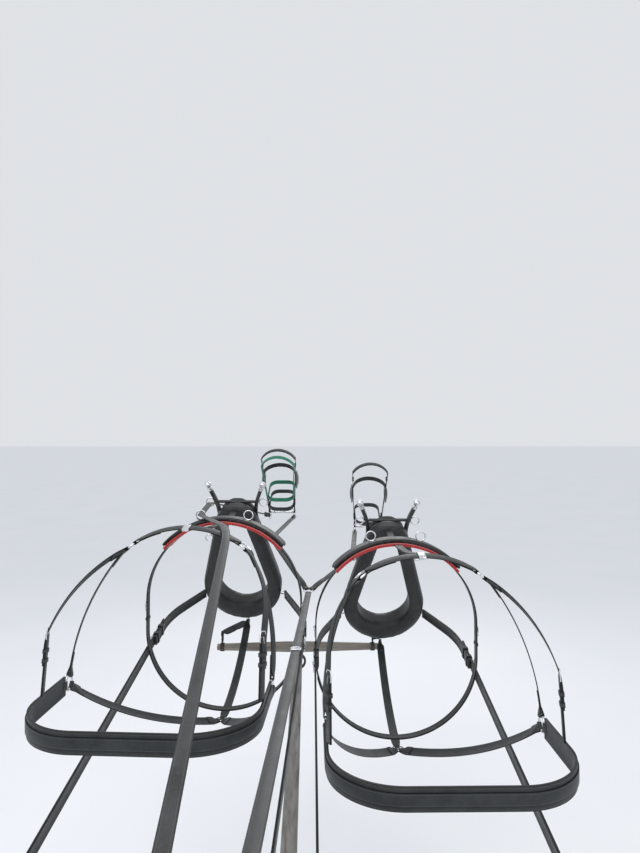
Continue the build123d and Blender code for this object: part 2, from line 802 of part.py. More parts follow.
evener_seat = pole_top(EVENER_Y + SADDLE_LENGTH / 2) + SADDLE_LEAST
pole_bottom = EVENER_Y * tan(pole_rise) - pole_half_depth(EVENER_Y)
pole_under = pole_bottom - BOLT_HEAD_RADIUS * tan(pole_rise) - 2 * SEAT
evener_base = Plane.XY.offset(evener_seat)
tree_base = evener_seat + EVENER_THICKNESS + WEAR_PLATE + SEAT
tree_z = tree_base + TREE_FLAT / 2
hook_height = tree_z + HEEL_HEIGHT + HOOK_LINK_LIFT
evener_tip = EVENER_HALF + EVENER_CAP
end_front = EVENER_Y + EVENER_END_DEPTH / 2
end_rear = EVENER_Y - EVENER_END_DEPTH / 2
with BuildPart() as evener:
    with BuildSketch(evener_base) as plan:
        with BuildLine():
            Line((evener_tip, end_rear), (evener_tip, end_front))
            ThreePointArc(
                (evener_tip, end_front), (0, EVENER_Y + EVENER_DEPTH / 2), (-evener_tip, end_front)
            )
            Line((-evener_tip, end_front), (-evener_tip, end_rear))
            ThreePointArc(
                (-evener_tip, end_rear), (0, EVENER_Y - EVENER_DEPTH / 2), (evener_tip, end_rear)
            )
        make_face()
        with Locations((-EVENER_HALF, EVENER_Y), (0, EVENER_Y), (EVENER_HALF, EVENER_Y)):
            Circle(PIVOT_BORE_RADIUS, mode=Mode.SUBTRACT)
    extrude(plan.sketch, amount=EVENER_THICKNESS)

# Pivot bolts at the evener's ends, the wear plates on it, and the saddle under its middle
shank = EVENER_THICKNESS + WEAR_PLATE + TREE_FLAT + 4 * SEAT
evener_top = evener_seat + EVENER_THICKNESS
with BuildPart() as evener_irons:
    stack = (
        (evener_seat - BOLT_HEAD - SEAT, BOLT_HEAD, BOLT_HEAD_RADIUS),
        (evener_seat - SEAT, shank, PIVOT_BOLT_RADIUS),
        (tree_base + TREE_FLAT + SEAT, BOLT_HEAD, BOLT_HEAD_RADIUS),
    )
    for side in (-1, 1):
        for base, height, radius in stack:
            with BuildSketch(Plane.XY.offset(base)) as disc:
                with Locations((side * EVENER_HALF, EVENER_Y)):
                    Circle(radius)
            extrude(disc.sketch, amount=height)
        with BuildSketch(evener_base.offset(EVENER_THICKNESS + SEAT / 2)) as washer:
            with Locations((side * EVENER_HALF, EVENER_Y)):
                Circle(WEAR_PLATE_RADIUS)
        extrude(washer.sketch, amount=WEAR_PLATE)
    middle_stack = (
        (pole_under - BOLT_HEAD, BOLT_HEAD, BOLT_HEAD_RADIUS),
        (pole_under, evener_top + SEAT - pole_under, PIVOT_BOLT_RADIUS),
        (evener_top + SEAT, BOLT_HEAD, BOLT_HEAD_RADIUS),
    )
    for base, height, radius in middle_stack:
        with BuildSketch(Plane.XY.offset(base)) as disc:
            with Locations((0, EVENER_Y)):
                Circle(radius)
        extrude(disc.sketch, amount=height)

# Saddle that levels the evener on the sloping pole
with BuildPart() as saddle:
    with BuildSketch(Plane.YZ) as wedge:
        with BuildLine():
            rear, front = EVENER_Y - SADDLE_LENGTH / 2, EVENER_Y + SADDLE_LENGTH / 2
            Polyline(
                (rear, pole_top(rear) + SEAT),
                (front, pole_top(front) + SEAT),
                (front, evener_seat - SEAT),
                (rear, evener_seat - SEAT),
                close=True,
            )
        make_face()
    extrude(wedge.sketch, amount=SADDLE_WIDTH / 2, both=True)
    with BuildSketch(evener_base) as bolt_hole:
        with Locations((0, EVENER_Y)):
            Circle(PIVOT_BORE_RADIUS)
    extrude(bolt_hole.sketch, amount=POLE_REAR_DEPTH, both=True, mode=Mode.SUBTRACT)

# A singletree, made square to its own harness, with the pivot at the frame's origin
ferrule_bore = TREE_END_RADIUS - FERRULE_SEAT + SEAT
ferrule_outer = ferrule_bore + FERRULE_WALL
shoulder = TREE_HALF - FERRULE_LENGTH
with BuildPart() as singletree:
    with BuildSketch(Plane.XZ) as half_section:
        with BuildLine():
            Polyline(
                (-shoulder, TREE_END_RADIUS + FERRULE_SEAT),
                (-TREE_MIDDLE, TREE_RADIUS),
                (TREE_MIDDLE, TREE_RADIUS),
                (shoulder, TREE_END_RADIUS + FERRULE_SEAT),
                (shoulder, TREE_END_RADIUS - FERRULE_SEAT),
                (TREE_HALF, TREE_END_RADIUS - FERRULE_SEAT),
                (TREE_HALF, 0),
                (-TREE_HALF, 0),
                (-TREE_HALF, TREE_END_RADIUS - FERRULE_SEAT),
                (-shoulder, TREE_END_RADIUS - FERRULE_SEAT),
                close=True,
            )
        make_face()
    revolve(half_section.sketch, axis=Axis.X)
    Box(2 * TREE_HALF, 2 * TREE_RADIUS, TREE_FLAT, mode=Mode.INTERSECT)
    Cylinder(PIVOT_BORE_RADIUS, 2 * TREE_RADIUS, mode=Mode.SUBTRACT)

# End caps with their hooks: an arm out of the cap and a post that the chain's end link drops over
with BuildPart() as tree_irons:
    for side in (-1, 1):
        sleeve = Plane(origin=(side * (shoulder + SEAT), 0, 0), z_dir=(side, 0, 0))
        with BuildSketch(sleeve) as tube:
            Circle(ferrule_outer)
            Circle(ferrule_bore, mode=Mode.SUBTRACT)
        extrude(tube.sketch, amount=FERRULE_LENGTH)
        with BuildSketch(sleeve.offset(FERRULE_LENGTH)) as cap:
            Circle(ferrule_outer)
        extrude(cap.sketch, amount=FERRULE_CAP)
        with BuildLine() as hook_path:
            FilletPolyline(
                (side * (TREE_HALF + FERRULE_CAP / 2), 0, -HOOK_ARM_DROP),
                (side * HOOK_HALF, 0, -HOOK_ARM_DROP),
                (side * HOOK_HALF, 0, HOOK_POST),
                radius=HOOK_BEND,
            )
        arm_start = hook_path.wire() @ 0
        with BuildSketch(Plane(origin=arm_start, z_dir=hook_path.wire() % 0)) as wire_section:
            Circle(HOOK_WIRE / 2)
        sweep(wire_section.sketch, path=hook_path.wire())


def chain_link(plane, turned, inner=LINK_INNER):
    """Add one long link lying along the plane's x direction, turned on edge or not."""
    lie = Plane(origin=plane.origin, x_dir=plane.x_dir, z_dir=plane.y_dir) if turned else plane
    with BuildSketch(lie) as outline:
        SlotOverall(LINK_LENGTH, inner + 2 * LINK_WIRE)
        SlotOverall(LINK_LENGTH - 2 * LINK_WIRE, inner, mode=Mode.SUBTRACT)
    extrude(outline.sketch, amount=LINK_WIRE / 2, both=True)


LINK_PITCH = LINK_LENGTH - 2 * LINK_WIRE - LINK_PLAY
first_link = LINK_LENGTH / 2 - LINK_WIRE - HOOK_WIRE / 2 - HOOK_PLAY
trace_start = first_link + (CHAIN_LINKS - 1) * LINK_PITCH + LINK_LENGTH / 2 + SEAT
tug_x = HOOK_HALF - TRACE_THICKNESS / 2 - RUNNING - TUG_THICKNESS / 2


def set_in(place, point):
    """A point of one harness's own frame, in the frame of the whole part."""
    return (place * Location(tuple(point))).position


def set_along(place, direction):
    return set_in(place, direction) - set_in(place, (0, 0, 0))


def placed(eye, place):
    return (set_in(place, eye[0]), set_along(place, eye[1]), eye[2], eye[3])


places = {}
for name, side, turn, ahead, lift, head_shift in SIDES:
    pivot = Location((side * EVENER_HALF, EVENER_Y, -HEEL_HEIGHT), (0, 0, turn))
    worn = pivot * Location((0, ahead, lift))
    head = pivot * Location((head_shift, ahead, lift))
    tree_place = Location((side * EVENER_HALF, EVENER_Y, tree_z), (0, 0, turn))
    for piece, shape in per_side.items():
        save(shape.part.moved(worn), f"{name}_{piece}")
    for piece, shape in per_head.items():
        save(shape.part.moved(head), f"{name}_{piece}")
    save(singletree.part.moved(tree_place), f"{name}_singletree")
    save(tree_irons.part.moved(tree_place), f"{name}_singletree_irons")

    # The line of pull rises from the singletree's hook to the hame's draft ring
    draft = on_collar(draft_u, DRAFT_V, HAME_W)
    rise = (draft.Z + lift - hook_height) / (draft.Y + ahead)
    slope = atan2(rise, 1)
    along = Vector(0, cos(slope), sin(slope))
    buckle_run = (GIRTH_Y + ahead + TUG_AHEAD_OF_GIRTH) / cos(slope)
    draft_run = (draft.Y + ahead) / cos(slope)
    places[name] = {"worn": worn, "head": head, "pull": set_along(pivot, along)}
    for hand, hand_name in ((-1, "left"), (1, "right")):
        origin = Vector(hand * HOOK_HALF, 0, hook_height)
        with BuildPart() as chain:
            for index in range(CHAIN_LINKS):
                centre = origin + along * (first_link + index * LINK_PITCH)
                flat = Plane(origin=centre, x_dir=along, z_dir=Vector(-1, 0, 0).cross(along))
                chain_link(flat, index % 2 == 1, LINK_INNER if index else HOOK_LINK_INNER)
        save(chain.part.moved(pivot), f"{name}_{hand_name}_heel_chain")

        trace_tip = buckle_run + TRACE_TIP_LAP
        with BuildPart() as trace_strap:
            with BuildSketch(Plane(origin=origin, x_dir=along, z_dir=(hand, 0, 0))) as side_view:
                with Locations(((trace_start + trace_tip) / 2, 0)):
                    RectangleRounded(trace_tip - trace_start, TRACE_WIDTH, TRACE_CORNER)
            extrude(side_view.sketch, amount=TRACE_THICKNESS / 2, both=True)
        save(trace_strap.part.moved(pivot), f"{name}_{hand_name}_trace")

    # Hame tugs: folded straps from the draft rings back to the trace buckles, with keepers
    square_to_pull = Vector(0, -sin(slope), cos(slope))
    pull_plane = Plane(origin=(0, 0, hook_height), x_dir=(1, 0, 0), z_dir=square_to_pull)
    with BuildPart() as tugs:
        for hand in (-1, 1):
            lap_end = Vector(hand * tug_x, buckle_run + TUG_LAP)
            eye = Vector(hand * draft_u, draft_run)
            tug_end = eye + (lap_end - eye).normalized() * DRAFT_REACH
            with BuildSketch(pull_plane) as plan:
                with BuildLine():
                    FilletPolyline(
                        (hand * tug_x, buckle_run + SEAT),
                        (lap_end.X, lap_end.Y),
                        (tug_end.X, tug_end.Y),
                        radius=TUG_BEND,
                    )
                trace(line_width=TUG_THICKNESS)
            extrude(plan.sketch, amount=TRACE_WIDTH / 2, both=True)
            inner = tug_x - TUG_THICKNESS / 2 - SEAT
            outer = HOOK_HALF + TRACE_THICKNESS / 2 + RUNNING
            middle = hand * (inner + outer) / 2
            for run in KEEPER_RUNS:
                at = pull_plane.from_local_coords((middle, buckle_run + run, 0))
                high = TRACE_WIDTH + 2 * RUNNING
                with BuildSketch(Plane(origin=at, x_dir=(1, 0, 0), z_dir=along)) as loop:
                    Rectangle(outer - inner + 2 * KEEPER_WALL, high + 2 * KEEPER_WALL)
                    Rectangle(outer - inner, high, mode=Mode.SUBTRACT)
                extrude(loop.sketch, amount=KEEPER_LENGTH / 2, both=True)
    save(tugs.part.moved(pivot), f"{name}_hame_tugs")
    # Where the trace buckles lie: on the outer wall's line of the first keeper, just behind it
    buckle_x = HOOK_HALF + TRACE_THICKNESS / 2 + RUNNING + KEEPER_WALL / 2 + BUCKLE_CLEAR
    buckle_at = buckle_run + KEEPER_RUNS[0] - KEEPER_LENGTH / 2 - SEAT - buckle_half(TRACE_WIDTH)
    places[name]["tug"] = []
    for hand in (-1, 1):
        on_tug = pull_plane.from_local_coords((hand * buckle_x, buckle_at, 0))
        out = set_along(pivot, (hand, 0, 0))
        places[name]["tug"].append((set_in(pivot, on_tug), set_along(pivot, along), out))
    places[name]["draft"] = set_along(pivot, along).cross(set_along(pivot, (1, 0, 0)))


def between_runs(before, middle, after):
    arriving = (Vector(*middle) - Vector(*before)).normalized()
    leaving = (Vector(*after) - Vector(*middle)).normalized()
    return (arriving + leaving).normalized()


def line_ring(name, side, v, u, before):
    """A hame ring that a line runs through, faced halfway between the line's two runs."""
    worn, head = places[name]["worn"], places[name]["head"]
    outward = set_along(worn, (side, 0, 0))
    nominal = set_in(worn, on_collar(side * u, v, HAME_W))
    facing = between_runs(before, nominal, placed(bit_eye(side), head)[0])
    turned = abs(facing.dot(outward))
    staple = set_in(worn, on_collar(side * (u - LINE_RING_REACH), v, HAME_W))
    held = (staple + outward * (SEAT + LINE_RING_WIRE / 2 * turned), facing)
    at = held[0] + in_plane_of(held, outward) * LINE_RING_RADIUS
    return (at, facing, LINE_RING_RADIUS, LINE_RING_WIRE)


# The routes of the lines: through a ring each on the way to the bit
fork_eye = (LINE_FORK, FORK_RING_FACE, LINE_RING_RADIUS, LINE_RING_WIRE)
near_terret = set_in(places["near"]["worn"], terret_at(-1))
line_rings = {
    ("near", -1, TOP_RING_V): line_ring("near", -1, TOP_RING_V, top_ring_u, near_terret),
    ("near", 1, REIN_V): line_ring("near", 1, REIN_V, rein_u, LINE_FORK),
    ("off", -1, REIN_V): line_ring("off", -1, REIN_V, rein_u, LINE_FORK),
}


def to_bit(name, side, eye):
    """Last stretch of a line: low through its hame ring and on to the bit ring."""
    bit = placed(bit_eye(side), places[name]["head"])
    through = eye[0] + in_plane_of(eye, Vector(0, 0, -1)) * LINE_REST
    return [through, rim_point(bit, through - bit[0])]


croup_rise = HIP_RISE * (1 - (CROUP_REST_X / HIP_HALF) ** 2)
croup_rest = (CROUP_REST_X, HIP_Y, HIP_Z + croup_rise + CROUP_REST_LIFT)
near_route = [
    Vector(*NEAR_LINE_END),
    set_in(places["near"]["worn"], croup_rest),
    near_terret,
    *to_bit("near", -1, line_rings["near", -1, TOP_RING_V]),
]
terret_facing = {("near", -1): between_runs(*near_route[1:4])}
check_routes = {}
for name, side in (("near", 1), ("off", -1)):
    ring_eye = line_rings[name, side, REIN_V]
    fork_end = rim_point(fork_eye, ring_eye[0] - Vector(*LINE_FORK))
    check_routes[name, side] = [fork_end, *to_bit(name, side, ring_eye)]

# The buckle on the inner line lies on its upper face
inner_behind = Vector(*OFF_LINE_END) - Vector(*LINE_FORK)
inner_end = rim_point(fork_eye, inner_behind)
inner_run = (inner_end - Vector(*OFF_LINE_END)).normalized()
inner_face = inner_run.cross(Vector(0, 0, 1)).normalized().cross(inner_run)
buckle_lift = LINE_THICKNESS / 2 + SEAT + BUCKLE_WIRE / 2
buckle_reach = (LINE_BUCKLE_Y - OFF_LINE_END[1]) / inner_run.Y
on_inner_line = Vector(*OFF_LINE_END) + inner_run * buckle_reach + inner_face * buckle_lift

# Hardware shared by both harnesses
collar_out = collar_plane.z_dir
with BuildPart() as hame_balls:
    for name, *rest in SIDES:
        for side in (-1, 1):
            at = on_collar(side * ball_centre[0], ball_centre[1], HAME_W)
            with Locations(set_in(places[name]["worn"], at)):
                Sphere(BALL_RADIUS - SEAT)
save(hame_balls.part, "hame_balls")

with BuildPart() as hame_rings:
    for name, *rest in SIDES:
        worn = places[name]["worn"]
        for side in (-1, 1):
            for u, v in ((rein_u, REIN_V), (top_ring_u, TOP_RING_V)):
                at = set_in(worn, on_collar(side * u, v, HAME_W))
                plain = (at, set_along(worn, collar_out), LINE_RING_RADIUS, LINE_RING_WIRE)
                ring(*line_rings.get((name, side, v), plain))
            at = set_in(worn, on_collar(side * draft_u, DRAFT_V, HAME_W))
            ring(at, places[name]["draft"], DRAFT_RING_RADIUS)
save(hame_rings.part, "hame_rings")

with BuildPart() as strap_rings:
    for name, *rest in SIDES:
        eyes = [hip_eye(-1), hip_eye(1), breech_eye(-1), breech_eye(1), belly_eye, breast_eye]
        for eye in eyes:
            ring(*placed(eye, places[name]["worn"]))
    ring(*fork_eye)
save(strap_rings.part, "strap_rings")

with BuildPart() as pad_terrets:
    for name, *rest in SIDES:
        worn = places[name]["worn"]
        for side in (-1, 1):
            facing = terret_facing.get((name, side), set_along(worn, (0, 1, 0)))
            ring(set_in(worn, terret_at(side)), facing, LINE_RING_RADIUS, LINE_RING_WIRE)
save(pad_terrets.part, "pad_terrets")

with BuildPart() as strap_buckles:
    for name, *rest in SIDES:
        worn = places[name]["worn"]
        for side in (-1, 1):
            at = mirrored(drop_buckle_at, side)
            down = Vector(side * rear_drop_x, REAR_DROP_Y, BREECH_Z) - Vector(*at)
            out = set_along(worn, mirrored(DROP_FACE, side))
            buckle(set_in(worn, at), set_along(worn, down.normalized()), out, DROP_WIDTH)
            side_x = BARREL_HALF + STRAP_THICKNESS + SEAT + BUCKLE_WIRE / 2
            at = (side * side_x, GIRTH_Y, barrel_top_z - GIRTH_BUCKLE_DROP)
            buckle(set_in(worn, at), Vector(0, 0, 1), set_along(worn, (side, 0, 0)), STRAP)
        for at, along, out in places[name]["tug"]:
            buckle(at, along, out, TRACE_WIDTH)
        keeper_front = set_along(worn, hip_front)
        keeper_across = Plane(
            origin=set_in(worn, hip_top), x_dir=keeper_front, z_dir=set_along(worn, (1, 0, 0))
        )
        strap_room = STRAP_THICKNESS + 2 * SEAT
        with BuildSketch(keeper_across) as loop:
            Rectangle(2 * keeper_reach, strap_room + 2 * HIP_KEEPER_WALL)
            Rectangle(STRAP + 2 * SEAT, strap_room, mode=Mode.SUBTRACT)
        extrude(loop.sketch, amount=HIP_KEEPER_LENGTH / 2, both=True)
    buckle(on_inner_line, inner_run, inner_face, LINE_WIDTH)
save(strap_buckles.part, "strap_buckles")

# Bits: a bar across the mouth with an eye round each ring's front
with BuildPart() as bits:
    for name, *rest in SIDES:
        head = places[name]["head"]
        middle = set_in(head, on_face(0, BIT_V, BIT_W + BIT_RING - RING_WIRE / 2))
        with BuildSketch(Plane(origin=middle, z_dir=set_along(head, (1, 0, 0)))) as bar:
            Circle(BIT_BAR)
        extrude(bar.sketch, amount=BIT_SIDE + BIT_END, both=True)
        for side in (-1, 1):
            eye = placed(bit_eye(side), head)
            with BuildSketch(Plane(origin=eye[0], z_dir=eye[1])) as room:
                Circle(BIT_RING + SEAT)
                Circle(BIT_RING - RING_WIRE - SEAT, mode=Mode.SUBTRACT)
            extrude(room.sketch, amount=RING_WIRE / 2 + SEAT, both=True, mode=Mode.SUBTRACT)
            ring(*eye)
save(bits.part, "bits")

# Halter under the near bridle
with BuildPart() as halter:
    halter_half = head_half(HALTER_V) - HALTER_NOSE_INSET
    halter_top = head_half(HALTER_TOP_V) - HALTER_INSET
    face_loop(HALTER_V, halter_half, HALTER_FRONT, HALTER_BACK)
    for side in (-1, 1):
        strap(
            on_face(side * halter_top, HALTER_TOP_V, HALTER_W),
            on_face(side * (halter_half + BRIDLE_THICKNESS / 2), HALTER_V, HALTER_LOW_W),
            (side, 0, 0),
            BRIDLE_STRAP,
            BRIDLE_THICKNESS,
        )
    strap(
        on_face(-halter_top, HALTER_CROWN_V, HALTER_W),
        on_face(halter_top, HALTER_CROWN_V, HALTER_W),
        face_plane.y_dir,
        BRIDLE_STRAP,
        BRIDLE_THICKNESS,
        bulge=HALTER_CROWN_BOW,
    )
save(halter.part.moved(places["near"]["head"]), "near_halter")

# Neck yoke on the pole's tip: turned bar, middle band with the pole ring, end bands and rings
tip_corner = POLE_TIP_SIZE / 2 - POLE_CORNER
ring_bore = YOKE_RING_RADIUS - YOKE_RING_WIRE
corner_room = ring_bore - SEAT - POLE_CORNER - YOKE_RING_PLAY
ring_lift = sqrt(corner_room**2 - tip_corner**2) - tip_corner
yoke_ring_at = Vector(0, YOKE_Y, YOKE_Y * tan(pole_rise) + ring_lift)
yoke_z = yoke_ring_at.Z + YOKE_RING_RADIUS + SEAT + YOKE_BAND_WALL + YOKE_RADIUS + SEAT
yoke_length_plane = Plane(origin=(0, YOKE_Y, yoke_z), x_dir=(1, 0, 0), z_dir=(0, -1, 0))
with BuildPart() as neck_yoke:
    with BuildSketch(yoke_length_plane) as half_section:
        with BuildLine():
            Polyline(
                (-YOKE_HALF, YOKE_END_RADIUS),
                (-YOKE_MIDDLE, YOKE_RADIUS),
                (YOKE_MIDDLE, YOKE_RADIUS),
                (YOKE_HALF, YOKE_END_RADIUS),
                (YOKE_HALF, 0),
                (-YOKE_HALF, 0),
                close=True,
            )
        make_face()
    revolve(half_section.sketch, axis=Axis((0, YOKE_Y, yoke_z), (1, 0, 0)))
save(neck_yoke.part, "neck_yoke")

yoke_taper = (YOKE_RADIUS - YOKE_END_RADIUS) / (YOKE_HALF - YOKE_MIDDLE)
band_inner_x = YOKE_RING_X - YOKE_BAND_LENGTH / 4
yoke_end_bore = YOKE_RADIUS - yoke_taper * (band_inner_x - YOKE_MIDDLE) + SEAT
yoke_end_ring_z = yoke_z + yoke_end_bore + YOKE_BAND_WALL + SEAT + RING_RADIUS


def yoke_end_eye(side):
    return ((side * YOKE_RING_X, YOKE_Y, yoke_end_ring_z), (1, 0, 0), RING_RADIUS, RING_WIRE)


with BuildPart() as yoke_irons:
    bands = (
        (0, YOKE_RADIUS + SEAT, YOKE_BAND_LENGTH),
        (-YOKE_RING_X, yoke_end_bore, YOKE_BAND_LENGTH / 2),
        (YOKE_RING_X, yoke_end_bore, YOKE_BAND_LENGTH / 2),
    )
    for x, bore_radius, length in bands:
        across = Plane(origin=(x, YOKE_Y, yoke_z), x_dir=(0, 1, 0), z_dir=(1, 0, 0))
        with BuildSketch(across) as band:
            Circle(bore_radius + YOKE_BAND_WALL)
            Circle(bore_radius, mode=Mode.SUBTRACT)
        extrude(band.sketch, amount=length / 2, both=True)
    ring(yoke_ring_at, pole_run, YOKE_RING_RADIUS, YOKE_RING_WIRE)
    for side in (-1, 1):
        ring(*yoke_end_eye(side))
save(yoke_irons.part, "yoke_irons")

with BuildPart() as breast_straps:
    for name, side, *rest in SIDES:
        chest = placed(breast_eye, places[name]["worn"])
        yoke_end = yoke_end_eye(side)
        strap(chest[0], yoke_end[0], (0, 1, 0), STRAP, eyes=(chest, yoke_end))
save(breast_straps.part, "breast_straps")

save(pole.part, "pole")
save(pole_irons.part, "pole_irons")
save(evener.part, "evener")
save(evener_irons.part, "evener_irons")
save(saddle.part, "evener_saddle")


def line_strap(points, bends, eyes):
    """Add a driving line: one flat strap laid through the points, folded round the eyes given."""
    with BuildLine() as route:
        if bends:
            FilletPolyline(*points, radius=bends)
        else:
            Line(*points)
    path = route.wire()
    direction = path % 0
    start = Plane(origin=path @ 0, x_dir=direction.cross(Vector(0, 0, 1)), z_dir=direction)
    with BuildSketch(start) as section:
        Rectangle(LINE_WIDTH, LINE_THICKNESS)
    sweep(section.sketch, path=path)
    for eye, toward in eyes:
        fold(eye, toward, LINE_FOLD_WIDTH)


with BuildPart() as near_line:
    bit = placed(bit_eye(-1), places["near"]["head"])
    line_strap(near_route, (CROUP_BEND, LINE_BEND, LINE_BEND), [(bit, near_route[-2] - bit[0])])
save(near_line.part, "near_line")

with BuildPart() as off_line:
    line_strap([Vector(*OFF_LINE_END), inner_end], None, [(fork_eye, inner_behind)])
save(off_line.part, "off_line")

with BuildPart() as cross_checks:
    for (name, side), route in check_routes.items():
        bit = placed(bit_eye(side), places[name]["head"])
        ends = [(fork_eye, route[1] - Vector(*LINE_FORK)), (bit, route[1] - bit[0])]
        line_strap(route, (LINE_BEND,), ends)
save(cross_checks.part, "cross_checks")
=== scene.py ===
from contextlib import contextmanager
from math import asin, atan2, ceil, cos, hypot, pi, radians, sin, sqrt, tan

import bpy
import numpy as np
from mathutils import Matrix, Vector
from mathutils.bvhtree import BVHTree


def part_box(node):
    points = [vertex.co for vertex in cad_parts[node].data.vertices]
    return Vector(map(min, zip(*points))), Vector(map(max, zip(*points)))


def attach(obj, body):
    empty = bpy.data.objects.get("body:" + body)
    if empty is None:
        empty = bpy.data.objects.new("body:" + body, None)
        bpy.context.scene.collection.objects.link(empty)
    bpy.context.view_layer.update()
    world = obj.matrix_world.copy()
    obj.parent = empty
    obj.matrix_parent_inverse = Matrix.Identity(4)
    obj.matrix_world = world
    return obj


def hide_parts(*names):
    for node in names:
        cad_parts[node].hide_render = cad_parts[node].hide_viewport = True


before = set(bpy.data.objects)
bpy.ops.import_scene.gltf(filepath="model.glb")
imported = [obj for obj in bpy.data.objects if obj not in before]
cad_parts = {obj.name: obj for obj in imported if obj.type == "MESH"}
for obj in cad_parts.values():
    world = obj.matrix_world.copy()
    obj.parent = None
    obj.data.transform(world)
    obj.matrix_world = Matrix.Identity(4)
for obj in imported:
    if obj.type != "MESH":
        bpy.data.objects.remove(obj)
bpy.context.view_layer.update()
bpy.ops.object.select_all(action="DESELECT")

UP = Vector((0, 0, 1))
GROUND = -0.5
BOTH = (-1, 1)

# Camera and lamps

CAMERA_AT = (0.076, -0.57, 1.6)
CAMERA_PITCH, CAMERA_YAW = 1.2, -0.8
CAMERA_LENS, SENSOR_WIDTH = 27, 36
bpy.ops.object.camera_add(location=CAMERA_AT)
camera = bpy.context.object
camera.rotation_euler = (radians(90 + CAMERA_PITCH), 0, radians(CAMERA_YAW))
camera.data.lens = CAMERA_LENS
camera.data.sensor_width = SENSOR_WIDTH
bpy.context.scene.camera = camera
bpy.context.scene.view_settings.view_transform = "Standard"

# Each soft lamp's name, place, aim, size and watts
LAMPS = (
    ("sky_panel", (-1.6, 0.2, 4.6), (0, 1.8, 0.6), 3.6, 90),
    ("rear_fill", (2.4, -2.4, 2.6), (0, 1.4, 0.5), 2.6, 35),
    ("front_rim", (0.6, 6.4, 3.4), (0, 2.4, 0.7), 2.4, 40),
)
for name, location, aim, size, watts in LAMPS:
    bpy.ops.object.light_add(type="AREA", location=location)
    lamp = bpy.context.object
    lamp.name = name
    lamp.data.size = size
    lamp.data.energy = watts
    lamp.rotation_euler = (Vector(aim) - Vector(location)).to_track_quat("-Z", "Y").to_euler()


# Finishes

def blank_finish(name, **sockets):
    """A new finish, its constant values set on the shader's own sockets."""
    finish = bpy.data.materials.new(name)
    finish.use_nodes = True
    shader = finish.node_tree.nodes["Principled BSDF"]
    for socket, value in sockets.items():
        shader.inputs[socket.replace("_", " ")].default_value = value
    return finish


def step(finish, kind, settings=(), **inputs):
    """One node of a finish, with its inputs set or linked by name, or by number as i0, i1 and so on."""
    node = finish.node_tree.nodes.new("ShaderNode" + kind)
    for key, value in settings:
        setattr(node, key, value)
    for key, value in inputs.items():
        socket = node.inputs[int(key[1:]) if key[0] == "i" and key[1:].isdigit() else key.replace("_", " ")]
        if isinstance(value, bpy.types.NodeSocket):
            finish.node_tree.links.new(value, socket)
        else:
            socket.default_value = value
    return node


def to_shader(finish, **inputs):
    shader = finish.node_tree.nodes["Principled BSDF"]
    for key, value in inputs.items():
        finish.node_tree.links.new(value, shader.inputs[key.replace("_", " ")])


def place_on(finish, stretch=(1, 1, 1)):
    """Object coordinates, stretched."""
    where = step(finish, "TexCoord").outputs["Object"]
    return step(finish, "Mapping", Vector=where, Scale=stretch).outputs["Vector"]


def cloudy(finish, where, scale, detail=4.0, roughness=0.55):
    noise = step(finish, "TexNoise", Vector=where, Scale=scale, Detail=detail, Roughness=roughness)
    return noise.outputs["Fac"]


def pebbles(finish, where, scale):
    return step(finish, "TexVoronoi", Vector=where, Scale=scale).outputs["Distance"]


def shades(finish, share, *stops):
    """A ramp of colours over a share from 0 to 1."""
    node = step(finish, "ValToRGB", Fac=share)
    ramp = node.color_ramp
    while len(ramp.elements) < len(stops):
        ramp.elements.new(0.5)
    for element, (at, colour) in zip(ramp.elements, stops):
        element.position = at
        element.color = (*colour, 1) if hasattr(colour, "__len__") else (colour, colour, colour, 1)
    return node.outputs["Color"]


def sums(finish, operation, first, second=0.0):
    return step(finish, "Math", [("operation", operation)], i0=first, i1=second).outputs[0]


def between(finish, share, low, high):
    """Blend two colours by a share."""
    low, high = (v if isinstance(v, bpy.types.NodeSocket) else (*v, 1) for v in (low, high))
    return step(finish, "Mix", [("data_type", "RGBA")], i0=share, i6=low, i7=high).outputs[2]


def relief(finish, height, strength, depth, under=None):
    below = {} if under is None else {"Normal": under}
    return step(finish, "Bump", Height=height, Strength=strength, Distance=depth, **below).outputs["Normal"]


def scaled(colour, share):
    return tuple(share * c for c in colour)


LAID, SPAN = "UVMap", "span"
EDGE, STITCH_IN, STITCH_HALF, STITCHES_A_METRE, STITCH_SHARE = 0.0012, 0.0042, 0.0005, 230.0, 0.66
THREAD = (0.085, 0.083, 0.078)
WARP, WEFT = 0.0022, 0.003
# How fine each finish's cloudiness is
LEATHER_WEAR, LEATHER_SCUFFS, LEATHER_CREASES = 17, 210, 75
METAL_CLOUDS, METAL_SHEEN, METAL_DENTS, RUST_SPOTS = 38, 130, 420, 55
WOOD_BANDS, WOOD_FIBRES, WOOD_WEATHER = 5.5, 26, 4.5
FELT_FUZZ, FELT_MATS, WEB_FADE, FLOOR_PATCHES = 640, 34, 22, 0.8
# How deep each finish's relief goes
PEBBLE_DEPTH, WRINKLE_DEPTH, THREAD_DEPTH, RUST_DEPTH = 0.0004, 0.0012, 0.0006, 0.0004
CHECK_DEPTH, FIBRE_DEPTH, MAT_DEPTH, FUZZ_DEPTH, WEAVE_DEPTH = 0.0015, 0.0012, 0.003, 0.0009, 0.0006
# How much a scuff lightens leather, and the share of its colour that a cut edge keeps
SCUFF_GAIN, SCUFF_LIFT, SCUFF_SHARE, CUT_SHARE = 1.9, 0.01, 0.35, 0.3


def strap_position(finish):
    """How far along a strap a point lies, how far across, and how far in from the strap's edge."""
    where, span = (
        step(finish, "SeparateXYZ", Vector=step(finish, "UVMap", [("uv_map", layer)]).outputs["UV"])
        for layer in (LAID, SPAN)
    )
    along, across = where.outputs["X"], where.outputs["Y"]
    return along, across, sums(finish, "SUBTRACT", span.outputs["X"], sums(finish, "ABSOLUTE", across))


